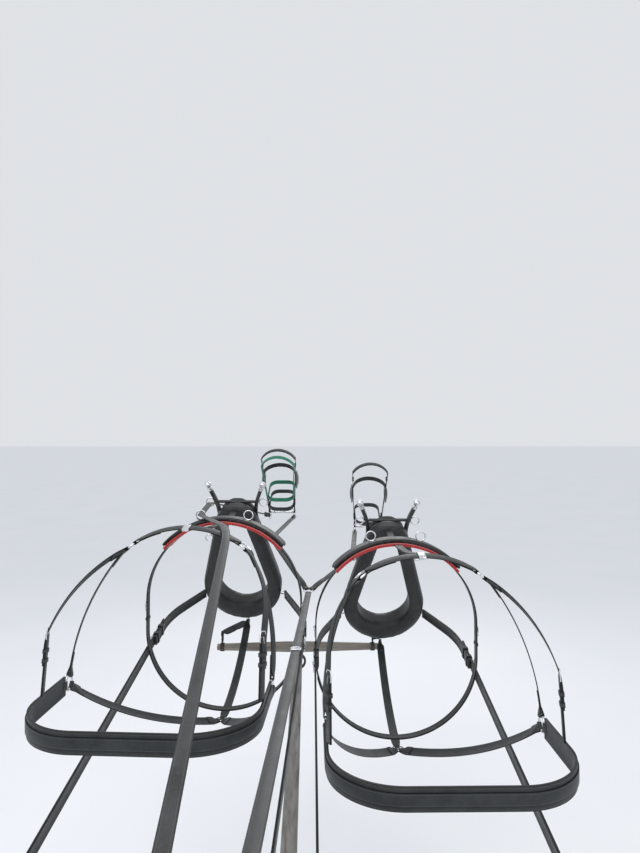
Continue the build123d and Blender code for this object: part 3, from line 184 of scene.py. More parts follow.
def leather(name, dark, worn, roughness, coat, sewn=True, pebble=1100, grain=0.25):
    """Black harness leather: cloudy wear, pebble grain, burnished edges and rows of stitches."""
    finish = blank_finish(name, Coat_Weight=coat, Coat_Roughness=0.35, Specular_IOR_Level=0.32)
    where = place_on(finish)
    wear = cloudy(finish, where, LEATHER_WEAR, 6)
    scuffs = shades(finish, cloudy(finish, where, LEATHER_SCUFFS, 3), (0.56, 0.0), (0.74, 1.0))
    base = shades(finish, wear, (0.32, dark), (0.68, worn))
    scuffed = tuple(min(1.0, SCUFF_GAIN * c + SCUFF_LIFT) for c in worn)
    base = between(finish, sums(finish, "MULTIPLY", scuffs, SCUFF_SHARE), base, scuffed)
    gloss = shades(finish, wear, (0.3, roughness - 0.08), (0.7, roughness + 0.1))
    normal = relief(finish, pebbles(finish, where, pebble), grain, PEBBLE_DEPTH)
    creases = cloudy(finish, where, LEATHER_CREASES, 5, 0.65)
    normal = relief(finish, creases, 0.22, WRINKLE_DEPTH, normal)
    if sewn:
        along, _, inward = strap_position(finish)
        base = between(finish, sums(finish, "LESS_THAN", inward, EDGE), base, scaled(dark, CUT_SHARE))
        off_row = sums(finish, "ABSOLUTE", sums(finish, "SUBTRACT", inward, STITCH_IN))
        turns = sums(finish, "FRACT", sums(finish, "MULTIPLY", along, STITCHES_A_METRE))
        row = sums(finish, "LESS_THAN", off_row, STITCH_HALF)
        stitch = sums(finish, "MULTIPLY", row, sums(finish, "LESS_THAN", turns, STITCH_SHARE))
        base = between(finish, stitch, base, THREAD)
        normal = relief(finish, stitch, 0.55, THREAD_DEPTH, normal)
    to_shader(finish, Base_Color=base, Roughness=gloss, Normal=normal)
    return finish


def metal(name, bright, dull, roughness, spread, metallic=1.0, spots=None, coat=0.0, dents=0.0002):
    """Metal that is cloudy in its shine, with spots of rust where their colour is given."""
    finish = blank_finish(name, Metallic=metallic, Coat_Weight=coat, Coat_Roughness=0.2)
    where = place_on(finish)
    base = shades(finish, cloudy(finish, where, METAL_CLOUDS, 5), (0.3, dull), (0.62, bright))
    sheen = cloudy(finish, where, METAL_SHEEN, 3)
    gloss = shades(finish, sheen, (0.3, roughness), (0.75, roughness + spread))
    normal = relief(finish, cloudy(finish, where, METAL_DENTS, 4, 0.6), 0.35, dents)
    if spots is not None:
        rust = shades(finish, cloudy(finish, where, RUST_SPOTS, 8, 0.7), (0.56, 0.0), (0.7, 1.0))
        base = between(finish, rust, base, spots)
        gloss = between(finish, rust, gloss, (0.82, 0.82, 0.82))
        normal = relief(finish, rust, 0.3, RUST_DEPTH, normal)
    to_shader(finish, Base_Color=base, Roughness=gloss, Normal=normal)
    return finish


def timber(name, stretch, pale, grey, dark):
    """Bare weathered wood: long grain, dark checks and a raised, dry surface."""
    finish = blank_finish(name, Specular_IOR_Level=0.25)
    where = place_on(finish, stretch)
    bands = cloudy(finish, where, WOOD_BANDS, 8, 0.62)
    fibres = cloudy(finish, where, WOOD_FIBRES, 6, 0.7)
    weather = cloudy(finish, place_on(finish), WOOD_WEATHER, 3)
    base = shades(finish, bands, (0.3, dark), (0.46, grey), (0.7, pale))
    base = between(finish, shades(finish, weather, (0.35, 0.0), (0.75, 0.55)), base, grey)
    checks = shades(finish, fibres, (0.3, 1.0), (0.37, 0.0))
    base = between(finish, checks, base, scaled(dark, 0.35))
    gloss = shades(finish, bands, (0.3, 0.72), (0.7, 0.9))
    normal = relief(finish, checks, -0.6, CHECK_DEPTH, relief(finish, fibres, 0.5, FIBRE_DEPTH))
    to_shader(finish, Base_Color=base, Roughness=gloss, Normal=normal)
    return finish


def felt(name, colour, shade):
    """Thick matted felt with a fuzz of paler fibres."""
    finish = blank_finish(name, Sheen_Weight=0.35, Sheen_Roughness=0.6, Specular_IOR_Level=0.15)
    where = place_on(finish)
    fuzz = cloudy(finish, where, FELT_FUZZ, 3, 0.7)
    matted = cloudy(finish, where, FELT_MATS, 5)
    base = shades(finish, matted, (0.3, shade), (0.7, colour))
    base = between(finish, shades(finish, fuzz, (0.45, 0.0), (0.8, 0.5)), base, scaled(colour, 1.5))
    normal = relief(finish, matted, 0.3, MAT_DEPTH, relief(finish, fuzz, 0.6, FUZZ_DEPTH))
    to_shader(finish, Base_Color=base, Roughness=shades(finish, fuzz, (0.2, 0.88), (0.8, 1.0)), Normal=normal)
    return finish


def webbing(name, colour, shade):
    """Flat nylon webbing, woven in rows along its own length."""
    finish = blank_finish(name, Sheen_Weight=0.2, Specular_IOR_Level=0.35)
    along, across, _ = strap_position(finish)
    picks, ends = (
        sums(finish, "SINE", sums(finish, "MULTIPLY", way, 2 * pi / pitch))
        for way, pitch in ((along, WARP), (across, WEFT))
    )
    weave = sums(finish, "MULTIPLY_ADD", sums(finish, "MULTIPLY", picks, ends), 0.5)
    fade = cloudy(finish, place_on(finish), WEB_FADE, 4)
    base = shades(finish, fade, (0.3, shade), (0.7, colour))
    base = between(finish, shades(finish, weave, (0.2, 0.55), (0.8, 0.0)), base, scaled(shade, 0.5))
    gloss = shades(finish, fade, (0.3, 0.55), (0.7, 0.75))
    to_shader(finish, Base_Color=base, Roughness=gloss, Normal=relief(finish, weave, 0.5, WEAVE_DEPTH))
    return finish


STRAP = leather("harness_leather", (0.012, 0.015, 0.015), (0.030, 0.035, 0.035), 0.48, 0.08)
LINE = leather("line_leather", (0.019, 0.020, 0.020), (0.046, 0.047, 0.047), 0.46, 0.08)
PLAIN = leather("collar_leather", (0.009, 0.009, 0.009), (0.024, 0.024, 0.025), 0.46, 0.15, False, 700, 0.45)
PATENT = leather("blinder_leather", (0.010, 0.010, 0.011), (0.022, 0.022, 0.024), 0.26, 0.6, False, 1500, 0.1)
CHROME = metal("bright_chrome", (0.80, 0.81, 0.83), (0.58, 0.59, 0.61), 0.09, 0.2)
CHAIN = metal("chain_steel", (0.36, 0.35, 0.34), (0.17, 0.16, 0.155), 0.36, 0.25, 1, (0.12, 0.055, 0.028))
ENAMEL = metal(
    "hame_enamel", (0.024, 0.024, 0.025), (0.012, 0.012, 0.012), 0.24, 0.25, 0.25, (0.075, 0.072, 0.07), 0.5
)
IRON = metal(
    "black_iron", (0.075, 0.07, 0.066), (0.03, 0.028, 0.027), 0.5, 0.25, 0.7, (0.13, 0.05, 0.022), 0, 0.0006
)
GREY_ALONG_Y = timber(
    "pole_wood", (9, 0.7, 9), (0.30, 0.29, 0.275), (0.19, 0.183, 0.172), (0.075, 0.068, 0.06)
)
GREY_ALONG_X = timber(
    "bar_wood", (0.7, 9, 9), (0.31, 0.285, 0.255), (0.20, 0.18, 0.157), (0.08, 0.066, 0.054)
)
RED_FELT = felt("red_felt", (0.42, 0.022, 0.020), (0.25, 0.010, 0.010))
GREEN = webbing("green_webbing", (0.02, 0.27, 0.16), (0.008, 0.14, 0.08))

# Floor and backdrop

FLOOR_SIZE, FLOOR_MIDDLE = 400, 6
floor_finish = blank_finish("pale_floor", Roughness=0.9, Specular_IOR_Level=0.1)
patches = cloudy(floor_finish, place_on(floor_finish), FLOOR_PATCHES, 2)
floor_shades = shades(floor_finish, patches, (0.3, (0.82, 0.83, 0.85)), (0.7, (0.85, 0.86, 0.87)))
to_shader(floor_finish, Base_Color=floor_shades)
bpy.ops.mesh.primitive_plane_add(size=FLOOR_SIZE, location=(0, FLOOR_MIDDLE, GROUND))
floor = bpy.context.object
floor.name = "pale_floor"
floor.data.materials.append(floor_finish)

SKY_COLOUR, SKY_STRENGTH, SEEN_COLOUR = (0.92, 0.95, 1.0, 1), 0.85, (0.74, 0.76, 0.79, 1)
world = bpy.data.worlds.new("studio")
bpy.context.scene.world = world
world.use_nodes = True
sky = world.node_tree.nodes["Background"]
sky.inputs["Color"].default_value = SKY_COLOUR
sky.inputs["Strength"].default_value = SKY_STRENGTH
seen = step(world, "Background", Color=SEEN_COLOUR)
path_of = step(world, "LightPath").outputs
either = sums(world, "MAXIMUM", path_of["Is Camera Ray"], path_of["Is Glossy Ray"])
pick = step(world, "MixShader", i0=either, i1=sky.outputs[0], i2=seen.outputs[0])
world.node_tree.links.new(pick.outputs[0], world.node_tree.nodes["World Output"].inputs["Surface"])


# Bench tools

def take(obj):
    """Select one object alone and make it active."""
    bpy.ops.object.select_all(action="DESELECT")
    obj.select_set(True)
    bpy.context.view_layer.objects.active = obj
    return obj


@contextmanager
def editing(obj, chosen=None):
    """Edit mode on one object, with all of it selected, or only the vertices that are chosen."""
    take(obj)
    bpy.ops.object.mode_set(mode="EDIT")
    bpy.ops.mesh.select_all(action="DESELECT" if chosen else "SELECT")
    if chosen:
        bpy.ops.object.mode_set(mode="OBJECT")
        for vertex in obj.data.vertices:
            vertex.select = chosen(vertex.co)
        bpy.ops.object.mode_set(mode="EDIT")
    yield
    bpy.ops.object.mode_set(mode="OBJECT")


def points_of(obj):
    flat = np.zeros(len(obj.data.vertices) * 3)
    obj.data.vertices.foreach_get("co", flat)
    return flat.reshape(-1, 3)


def set_points(obj, points):
    obj.data.vertices.foreach_set("co", np.ascontiguousarray(points, dtype=float).ravel())
    obj.data.update()


def apply_all(obj):
    take(obj)
    for modifier in list(obj.modifiers):
        bpy.ops.object.modifier_apply(modifier=modifier.name)


def add_modifier(obj, kind, **settings):
    modifier = obj.modifiers.new(kind.lower(), kind)
    for key, value in settings.items():
        setattr(modifier, key, value)
    return modifier


def add_bevel(obj, width, segments=2, angle=50):
    limits = {"limit_method": "ANGLE", "angle_limit": radians(angle)}
    add_modifier(obj, "BEVEL", width=width, segments=segments, **limits)


def smooth(obj, angle=38):
    take(obj)
    bpy.ops.object.shade_smooth_by_angle(angle=radians(angle), keep_sharp_edges=False)


def joined(pieces):
    """Join pieces into the first one."""
    bpy.ops.object.select_all(action="DESELECT")
    for piece in pieces:
        piece.select_set(True)
    bpy.context.view_layer.objects.active = pieces[0]
    if len(pieces) > 1:
        bpy.ops.object.join()
    return bpy.context.object


def copied(obj, matrix=None):
    twin = obj.copy()
    twin.data = obj.data.copy()
    bpy.context.scene.collection.objects.link(twin)
    if matrix is not None:
        twin.data.transform(matrix)
    return twin


def fixed(obj, matrix):
    """Put a piece modelled at the origin in its place, in its mesh."""
    take(obj)
    bpy.ops.object.transform_apply(location=True, rotation=True, scale=True)
    obj.data.transform(matrix)
    return obj


def axes(at, x, z):
    """Matrix that puts the origin at a point, x along one direction and z near another."""
    x = Vector(x).normalized()
    y = Vector(z).cross(x).normalized()
    turned = Matrix((x, y, x.cross(y))).transposed().to_4x4()
    turned.translation = Vector(at)
    return turned


def upended(at, z):
    """Matrix that puts the origin at a point and turns z along a direction."""
    return Matrix.Translation(at) @ Vector(z).to_track_quat("Z", "Y").to_matrix().to_4x4()


def settle(pieces, name, nodes, finish=STRAP, body="draft_gear", place=None):
    """Join, place and name a finished piece, tie it to its body, and hide the CAD nodes that it replaces."""
    obj = joined(pieces)
    if place is not None:
        obj.data.transform(place)
    obj.name = name
    obj.data.name = name
    obj.data.materials.clear()
    obj.data.materials.append(finish)
    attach(obj, body)
    if nodes:
        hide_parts(*nodes)
    return obj


DOUBLES, FLAT_WITHIN, CORNER_ABOVE, STRAP_SMOOTH = 0.00001, 0.6, 32, 45
# Lengths below which a run counts as straight, and two of its points as one
NO_SAG, NO_STEP = 1e-5, 1e-6


def cad_copy(node):
    """A merged copy of a CAD node, to be worked further."""
    twin = copied(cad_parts[node])
    twin.parent = None
    for key in list(twin.keys()):
        if key.startswith("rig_"):
            del twin[key]
    twin.hide_render = twin.hide_viewport = False
    with editing(twin):
        bpy.ops.mesh.remove_doubles(threshold=DOUBLES)
    for attribute in ("sharp_face", "sharp_edge", "custom_normal"):
        if twin.data.attributes.get(attribute):
            twin.data.attributes.remove(twin.data.attributes[attribute])
    return twin


def eased(node, radius, rounds=2):
    """A CAD node's copy with its facets joined and its corners eased."""
    obj = cad_copy(node)
    with editing(obj):
        bpy.ops.mesh.dissolve_limited(angle_limit=radians(FLAT_WITHIN))
    add_bevel(obj, radius, rounds, CORNER_ABOVE)
    apply_all(obj)
    smooth(obj)
    return obj


COLUMN = 0.01
CREASE_IN, CREASE_WIDTH, CREASE_DEPTH = 0.0016, 0.0006, 0.00045
EDGE_EASE, EDGE_SHARE = 0.0012, 0.32


def flat_strap(columns, width, leaf, crease=True, tooth=0.0):
    """One flat strap along +X: a grid creased along its edges, given its thickness and eased."""
    length = columns * COLUMN
    bpy.ops.mesh.primitive_grid_add(
        x_subdivisions=columns, y_subdivisions=1, size=1, location=(length / 2, 0, 0)
    )
    obj = bpy.context.object
    obj.scale = (length, width, 1)
    bpy.ops.object.transform_apply(location=True, scale=True)
    if tooth:
        points = points_of(obj)
        odd = np.rint(points[:, 0] / COLUMN) % 2 == 1
        points[odd, 1] += np.sign(points[odd, 1]) * tooth
        set_points(obj, points)
    if crease:
        with editing(obj):
            bpy.ops.mesh.inset(thickness=CREASE_IN)
            bpy.ops.mesh.inset(thickness=CREASE_WIDTH, depth=-CREASE_DEPTH)
            bpy.ops.mesh.inset(thickness=CREASE_WIDTH, depth=CREASE_DEPTH)
    add_modifier(obj, "SOLIDIFY", thickness=leaf, offset=0)
    add_bevel(obj, min(EDGE_EASE, leaf * EDGE_SHARE))
    apply_all(obj)
    return obj


def laid(points, faces, width, leaf, widths=None, **making):
    """Model a flat strap and lay it along points, its face turned to faces."""
    points = np.array([tuple(p) for p in points])
    faces = np.array([tuple(n) for n in faces])
    obj = flat_strap(len(points) - 1, width, leaf, **making)
    tangents = np.gradient(points, axis=0)
    tangents /= np.linalg.norm(tangents, axis=1)[:, None]
    faces = faces - tangents * np.sum(faces * tangents, axis=1)[:, None]
    faces /= np.linalg.norm(faces, axis=1)[:, None]
    across = np.cross(faces, tangents)
    runs = np.concatenate([[0], np.cumsum(np.linalg.norm(np.diff(points, axis=0), axis=1))])
    share = np.ones(len(points)) if widths is None else np.array(widths) / width
    flat = points_of(obj)
    at = np.clip(flat[:, 0] / COLUMN, 0, len(points) - 1)
    low = np.minimum(at.astype(int), len(points) - 2)
    part = at - low

    def along(values):
        weight = part if values.ndim == 1 else part[:, None]
        return values[low] * (1 - weight) + values[low + 1] * weight

    side = flat[:, 1] * along(share)
    set_points(obj, along(points) + along(across) * side[:, None] + along(faces) * flat[:, 2][:, None])
    corner = np.zeros(len(obj.data.loops), dtype=int)
    obj.data.loops.foreach_get("vertex_index", corner)
    while obj.data.uv_layers:
        obj.data.uv_layers.remove(obj.data.uv_layers[0])
    half = width / 2 * along(share)
    for layer, values in ((LAID, (along(runs), side)), (SPAN, (half, half))):
        laid_uv = obj.data.uv_layers.new(name=layer)
        laid_uv.data.foreach_set("uv", np.stack([v[corner] for v in values], axis=1).ravel())
    smooth(obj, STRAP_SMOOTH)
    return obj


def ease_in(share):
    share = min(1.0, max(0.0, share))
    return share * share * (3 - 2 * share)


# Where the harness lies, in its own frame

SEAT = 0.0003
RING, WIRE = 0.027, 0.007
BREADTH, DROP_BREADTH, THICK = 0.038, 0.032, 0.006
BARREL, BACK_TOP, BELLY, GIRTH_Y = 0.350, 1.640, 0.800, 1.830
BARREL_TOP, BARREL_LOW = BACK_TOP - BARREL, BELLY + BARREL
HIP_Y, HIP_HALF, HIP_Z, HIP_RISE = 1.180, 0.205, 1.640, 0.070
BREECH_REAR, BREECH_FRONT, BREECH_HALF, BREECH_Z, BREECH_CORNER = 0.555, 0.930, 0.330, 1.235, 0.270
BREECH_WIDTH = 0.060
RING_REACH = hypot(RING, WIRE / 2) + SEAT
COLLAR_AT, COLLAR_TILT = Vector((0, 2.310, 1.370)), radians(28.5)
HEAD_AT, HEAD_TILT = Vector((0, 2.850, 1.930)), radians(31)
FOOT_V, FOOT_RADIUS, TOP_V, TOP_RADIUS = -0.130, 0.205, 0.300, 0.095
HAME_W, HAME_INSET, BREAST_DROP = -0.010, 0.022, 0.062
LEAN = asin((FOOT_RADIUS - TOP_RADIUS) / (TOP_V - FOOT_V))
ACROSS = Vector((1, 0, 0))


def to_side(side, x, y=0, z=0):
    """A point or direction given for the off side, or mirrored to the near side."""
    return Vector((side * x, y, z))


def tilted(origin, tilt, u, v, w):
    """A point of a leaning plane: u to the side, v up it, w to the rear."""
    rise = Vector((0, -sin(tilt), cos(tilt)))
    back = Vector((0, -cos(tilt), -sin(tilt)))
    return origin + Vector((u, 0, 0)) + rise * v + back * w


def on_collar(u, v, w=HAME_W):
    return tilted(COLLAR_AT, COLLAR_TILT, u, v, w)


def on_face(u, v, w):
    return tilted(HEAD_AT, HEAD_TILT, u, v, -w)


# An eye is a ring's centre, its normal, its radius and its wire.
HIP_EYE_FACE, BELLY_EYE_FACE, BELLY_EYE_DROP = (0.6, -0.05, 0.79), (0, 0.15, 1), 0.030


def hip_eye(side):
    return (to_side(side, HIP_HALF, HIP_Y, HIP_Z), to_side(side, *HIP_EYE_FACE).normalized(), RING, WIRE)


def breech_eye(side):
    return (to_side(side, BREECH_HALF, BREECH_FRONT + RING_REACH, BREECH_Z), to_side(side, 1), RING, WIRE)


belly_at = Vector((0, GIRTH_Y - BREADTH / 2 - RING_REACH, BELLY - BELLY_EYE_DROP))
belly_eye = (belly_at, Vector(BELLY_EYE_FACE).normalized(), RING, WIRE)
breast_eye = (on_collar(0, FOOT_V - FOOT_RADIUS - BREAST_DROP), ACROSS, RING, WIRE)


def in_plane_of(eye, toward):
    return (toward - eye[1] * toward.dot(eye[1])).normalized()


def rim_point(eye, toward):
    return eye[0] + in_plane_of(eye, toward) * (eye[2] + SEAT)


def arc_points(first, crest, last, spacing):
    """Points of the arc through three points, with the directions that face out of its bow."""
    chord = last - first
    x = chord.normalized()
    bow = crest - first - x * (crest - first).dot(x)
    sag = bow.length
    steps = max(3, int(ceil(chord.length / spacing)))
    if sag < NO_SAG:
        return [first + chord * i / steps for i in range(steps + 1)], None
    up = bow / sag
    half = chord.length / 2
    radius = (half * half + sag * sag) / (2 * sag)
    centre = first + x * half + up * (sag - radius)
    reach = asin(min(1.0, half / radius))
    if sag > radius:
        reach = pi - reach
    angles = [-reach + 2 * reach * i / steps for i in range(steps + 1)]
    faces = [x * sin(angle) + up * cos(angle) for angle in angles]
    return [centre + out * radius for out in faces], faces


STRAP_STEP, LEAF_SHARE, LAP = 0.011, 0.52, 0.075
FOLD_WIDTH, FOLD_STEPS, GATHERED, NARROWED = 0.024, 8, 0.032, 0.045
BEYOND_ROUNDS = 6


def belt(
    start, end, outward, width, thickness=THICK, bulge=0.0, trims=(0, 0), eyes=(None, None), lap=LAP,
    beyond=(),
):
    """A strap from start to end, or to the points beyond it, each with its facing.

    At an eye it runs round the ring's wire and is lapped back under itself.
    """
    start, end, outward = Vector(start), Vector(end), Vector(outward)
    run = end - start
    chord = run.normalized()
    rise = (outward - chord * chord.dot(outward)).normalized()
    lift = 2 * atan2(2 * bulge, run.length)
    leaving = (chord * cos(lift) + rise * sin(lift), rise * sin(lift) - chord * cos(lift))
    first = rim_point(eyes[0], leaving[0]) if eyes[0] else start + chord * trims[0]
    last = rim_point(eyes[1], leaving[1]) if eyes[1] else end - chord * trims[1]
    points, faces = arc_points(first, start + run / 2 + rise * bulge, last, STRAP_STEP)
    if faces is None:
        faces = [rise] * len(points)
    elif bulge < 0:
        faces = [-f for f in faces]
    if not any(eyes):
        return laid(points, faces, width, thickness)
    leaf = thickness * LEAF_SHARE
    turn = WIRE / 2 + SEAT + leaf / 2
    narrow = min(width, FOLD_WIDTH)
    runs = [0.0]
    for a, b in zip(points, points[1:]):
        runs.append(runs[-1] + (b - a).length)
    pulls = []
    for index, (eye, toward) in enumerate(zip(eyes, leaving)):
        if eye:
            outer = in_plane_of(eye, toward)
            pulls.append((index, eye[0] + outer * (eye[2] - eye[3] / 2), outer, eye[1]))
    top, under = [], ([], [])
    for run_at, point, face in zip(runs, points, faces):
        reaches = (run_at, runs[-1] - run_at)
        spot, turned, breadth = point + face * leaf / 2, face, width
        lower, lowered = point - face * leaf / 2, -face
        for index, wire_at, outer, normal in pulls:
            normal = normal if normal.dot(face) > 0 else -normal
            reach = reaches[index] + eyes[index][3] / 2 + SEAT
            share = ease_in(1 - reach / GATHERED)
            spot = spot.lerp(wire_at + outer * reach + normal * turn, share)
            turned = turned.lerp(normal, share).normalized()
            lower = lower.lerp(wire_at + outer * reach - normal * turn, share)
            lowered = lowered.lerp(-normal, share).normalized()
            breadth = min(breadth, width + (narrow - width) * ease_in(1 - reach / NARROWED))
            if reaches[index] < lap:
                under[index].append((lower, lowered, breadth))
        top.append((spot, turned, breadth))
    top += [(point, face, width) for point, face in beyond]
    for _ in range(BEYOND_ROUNDS if beyond else 0):
        top[1:-1] = [
            ((a[0] + 2 * b[0] + c[0]) / 4, (a[1] + 2 * b[1] + c[1]).normalized(), b[2])
            for a, b, c in zip(top, top[1:], top[2:])
        ]
    rows = list(top)
    for index, wire_at, outer, normal in pulls:
        normal = normal if normal.dot(faces[-index]) > 0 else -normal
        angles = [pi * k / FOLD_STEPS for k in range(FOLD_STEPS + 1)]
        fold = [normal * cos(angle) - outer * sin(angle) for angle in angles]
        bend = [(wire_at + out * turn, out, narrow) for out in fold]
        if index == 0:
            rows = under[0][::-1] + bend[::-1] + rows
        else:
            rows = rows + bend + under[1][::-1]
    return laid([r[0] for r in rows], [r[1] for r in rows], width, leaf, [r[2] for r in rows])


def rounded_run(corners, bends, spacing=0.012, gap=0.0192, least=2):
    """Points along straight runs, with a bend of its own at each corner."""
    corners = [Vector(c) for c in corners]
    points = [corners[0]]
    for before, corner, after, radius in zip(corners, corners[1:], corners[2:], bends):
        arriving, leaving = (corner - before).normalized(), (after - corner).normalized()
        turn = arriving.angle(leaving)
        cut = min(radius * tan(turn / 2), (corner - before).length / 2, (after - corner).length / 2)
        bend = cut / tan(turn / 2)
        centre = corner + (leaving - arriving).normalized() * (bend / cos(turn / 2))
        first, last = corner - arriving * cut - centre, corner + leaving * cut - centre
        count = max(least, int(ceil(bend * turn / spacing)))
        for k in range(count + 1):
            mixed = first * sin((1 - k / count) * turn) + last * sin(k / count * turn)
            points.append(centre + mixed / sin(turn))
    points.append(corners[-1])
    filled = [points[0]]
    for a, b in zip(points, points[1:]):
        if (b - a).length > NO_STEP:
            count = max(1, int(ceil((b - a).length / gap)))
            filled += [a + (b - a) * k / count for k in range(1, count + 1)]
    return filled


LOOP_STEPS, LOOP_TURN, LOOP_CORNER, LOOP_CLEAR = 20, 0.04, 0.003, 0.0022
# Share of a loop's half height that its corner takes at most, and of its half width where its side begins
CORNER_SHARE, SIDE_FROM = 0.7, 0.96


def keeper_loop(at, along, face, half_width, half_height, length=0.012, leaf=0.0022):
    """A leather loop round a strap's layers."""
    x = Vector(along).normalized()
    y = Vector(face).cross(x).normalized()
    z = x.cross(y)
    corner = min(LOOP_CORNER, half_height * CORNER_SHARE)
    outline, faces = [], []
    for k in range(LOOP_STEPS + 1):
        angle = 2 * pi * k / LOOP_STEPS + LOOP_TURN
        c, s = cos(angle), sin(angle)
        across = np.sign(c) * (half_width - corner) * min(1, abs(c) * 3) + corner * c
        upward = np.sign(s) * (half_height - corner) * min(1, abs(s) * 3) + corner * s
        outline.append(Vector(at) + y * across + z * upward)
        beside = abs(across) > half_width * SIDE_FROM
        faces.append(y * np.sign(across) if beside else z * np.sign(upward))
    return laid(outline, faces, length, leaf, crease=False)


# Rings, links and buckles

def solids_of(node):
    """The points of each separate solid of a CAD node."""
    with editing(cad_copy(node)):
        bpy.ops.mesh.separate(type="LOOSE")
    pieces = list(bpy.context.selected_objects)
    found = [points_of(p) for p in pieces]
    for p in pieces:
        bpy.data.objects.remove(p)
    return found


def main_axes(points):
    """Middle of a solid's points, the way it is thinnest, and its reach along each axis, long first."""
    middle = (points.max(0) + points.min(0)) / 2
    for _ in range(2):
        _, turned = np.linalg.eigh(np.cov((points - middle).T))
        turned = turned[:, ::-1]
        local = (points - middle) @ turned
        middle = middle + turned @ ((local.max(0) + local.min(0)) / 2)
    local = (points - middle) @ turned
    return Vector(middle), Vector(turned[:, 2]), (local.max(0) - local.min(0)) / 2


BEAD_SPREAD, BEAD_SHARE = 0.09, 0.16
RING_STEPS, LINK_STEPS, WIRE_STEPS, WIRE_SMOOTH = 44, 28, 12, 60


def wire_ring(at, normal, radius, wire, weld=0.0):
    """A welded ring of round wire, with a slight bead where it was closed."""
    bpy.ops.mesh.primitive_torus_add(
        major_segments=RING_STEPS, minor_segments=WIRE_STEPS,
        major_radius=radius - wire / 2, minor_radius=wire / 2,
    )
    ring = bpy.context.object
    points = points_of(ring)
    angle = np.arctan2(points[:, 1], points[:, 0]) - weld
    bead = np.exp(-((np.angle(np.exp(1j * angle)) / BEAD_SPREAD) ** 2))[:, None]
    spine = points.copy()
    spine[:, 2] = 0
    spine *= (radius - wire / 2) / np.linalg.norm(spine, axis=1)[:, None]
    set_points(ring, spine + (points - spine) * (1 + BEAD_SHARE * bead))
    fixed(ring, upended(at, normal))
    smooth(ring, WIRE_SMOOTH)
    return ring


# A ring's two widest reaches are alike and it is flat; each weld sits further round than the last
ROUND_WITHIN, FLAT_BELOW, WELD_TURN = 0.12, 0.4, 2.1


def rings_of(node):
    """Round-wire rings in the places of a CAD node's flat ones."""
    rings = []
    for index, points in enumerate(solids_of(node)):
        middle, thin, (reach, second, half) = main_axes(points)
        if abs(reach - second) < ROUND_WITHIN * reach and half < FLAT_BELOW * reach:
            rings.append(wire_ring(middle, thin, reach, 2 * half, weld=WELD_TURN * index))
    return rings


LINK_HALF, LINK_WIRE, HOOK_WIRE = 0.031, 0.009, 0.012
LINK_PITCH = 2 * LINK_HALF - 2 * LINK_WIRE - 0.0005
LINKS, FIRST_LINK = 5, LINK_HALF - LINK_WIRE - HOOK_WIRE / 2 - 0.0017
LINK_INSIDE, END_LINK_INSIDE = 0.017, 0.026
# Half of the wire, a hair less so that the links stay apart, and how far off its middle a link's half begins
LINK_SHARE, OFF_MIDDLE = 0.49, 1e-5


def chain_link(at, long, thin, inner):
    """A link of round wire, from a torus drawn out lengthwise."""
    bend = (inner + LINK_WIRE) / 2
    bpy.ops.mesh.primitive_torus_add(
        major_segments=LINK_STEPS, minor_segments=WIRE_STEPS,
        major_radius=bend, minor_radius=LINK_WIRE * LINK_SHARE,
    )
    link = bpy.context.object
    for side in BOTH:
        with editing(link, lambda spot: spot.x * side > OFF_MIDDLE):
            bpy.ops.transform.translate(value=(side * (LINK_HALF - LINK_WIRE / 2 - bend), 0, 0))
    fixed(link, axes(at, long, thin))
    smooth(link, WIRE_SMOOTH)
    return link


def bent_wire(corners, wire, closed=True, resolution=4):
    """Round wire bent through corners."""
    bpy.ops.mesh.primitive_circle_add(vertices=len(corners), radius=1)
    obj = bpy.context.object
    if not closed:
        with editing(obj):
            bpy.ops.mesh.select_all(action="DESELECT")
            bpy.ops.object.mode_set(mode="OBJECT")
            for edge in obj.data.edges:
                edge.select = set(edge.vertices) == {0, len(corners) - 1}
            bpy.ops.object.mode_set(mode="EDIT")
            bpy.ops.mesh.select_mode(type="EDGE")
            bpy.ops.mesh.delete(type="EDGE")
            bpy.ops.mesh.select_mode(type="VERT")
    set_points(obj, np.array([tuple(c) for c in corners]))
    take(obj)
    bpy.ops.object.convert(target="CURVE")
    obj = bpy.context.object
    obj.data.bevel_depth = wire / 2
    obj.data.bevel_resolution = resolution
    obj.data.use_fill_caps = True
    bpy.ops.object.convert(target="MESH")
    obj = bpy.context.object
    smooth(obj, WIRE_SMOOTH)
    return obj


def rounded_frame(half_x, half_y, corner):
    corners = []
    for k, (sx, sy) in enumerate(((1, 1), (-1, 1), (-1, -1), (1, -1))):
        for j in range(5):
            angle = pi / 2 * (k + j / 4)
            x, y = sx * (half_x - corner) + corner * cos(angle), sy * (half_y - corner) + corner * sin(angle)
            corners.append((x, y, 0))
    return corners


ROD_EASE, ROD_SMOOTH = 0.25, 40


def rod(start, end, radius, tip=None, sides=14):
    """A round rod between two points, its ends eased."""
    start, end = Vector(start), Vector(end)
    length = (end - start).length
    tip = radius if tip is None else tip
    bpy.ops.mesh.primitive_cone_add(
        vertices=sides, radius1=radius, radius2=tip, depth=length, location=(0, 0, length / 2)
    )
    obj = bpy.context.object
    add_bevel(obj, min(radius, length) * ROD_EASE)
    apply_all(obj)
    fixed(obj, upended(start, end - start))
    smooth(obj, ROD_SMOOTH)
    return obj


BUCKLE_WIRE, BUCKLE_SHARE = 0.004, 0.55
# The corners of a buckle's frame and the radii of its bar, roller and tongue, as shares of the wire
FRAME_CORNER, BAR_SHARE, ROLLER_SHARE, TONGUE_SHARE = 1.6, 0.42, 0.72, 0.62


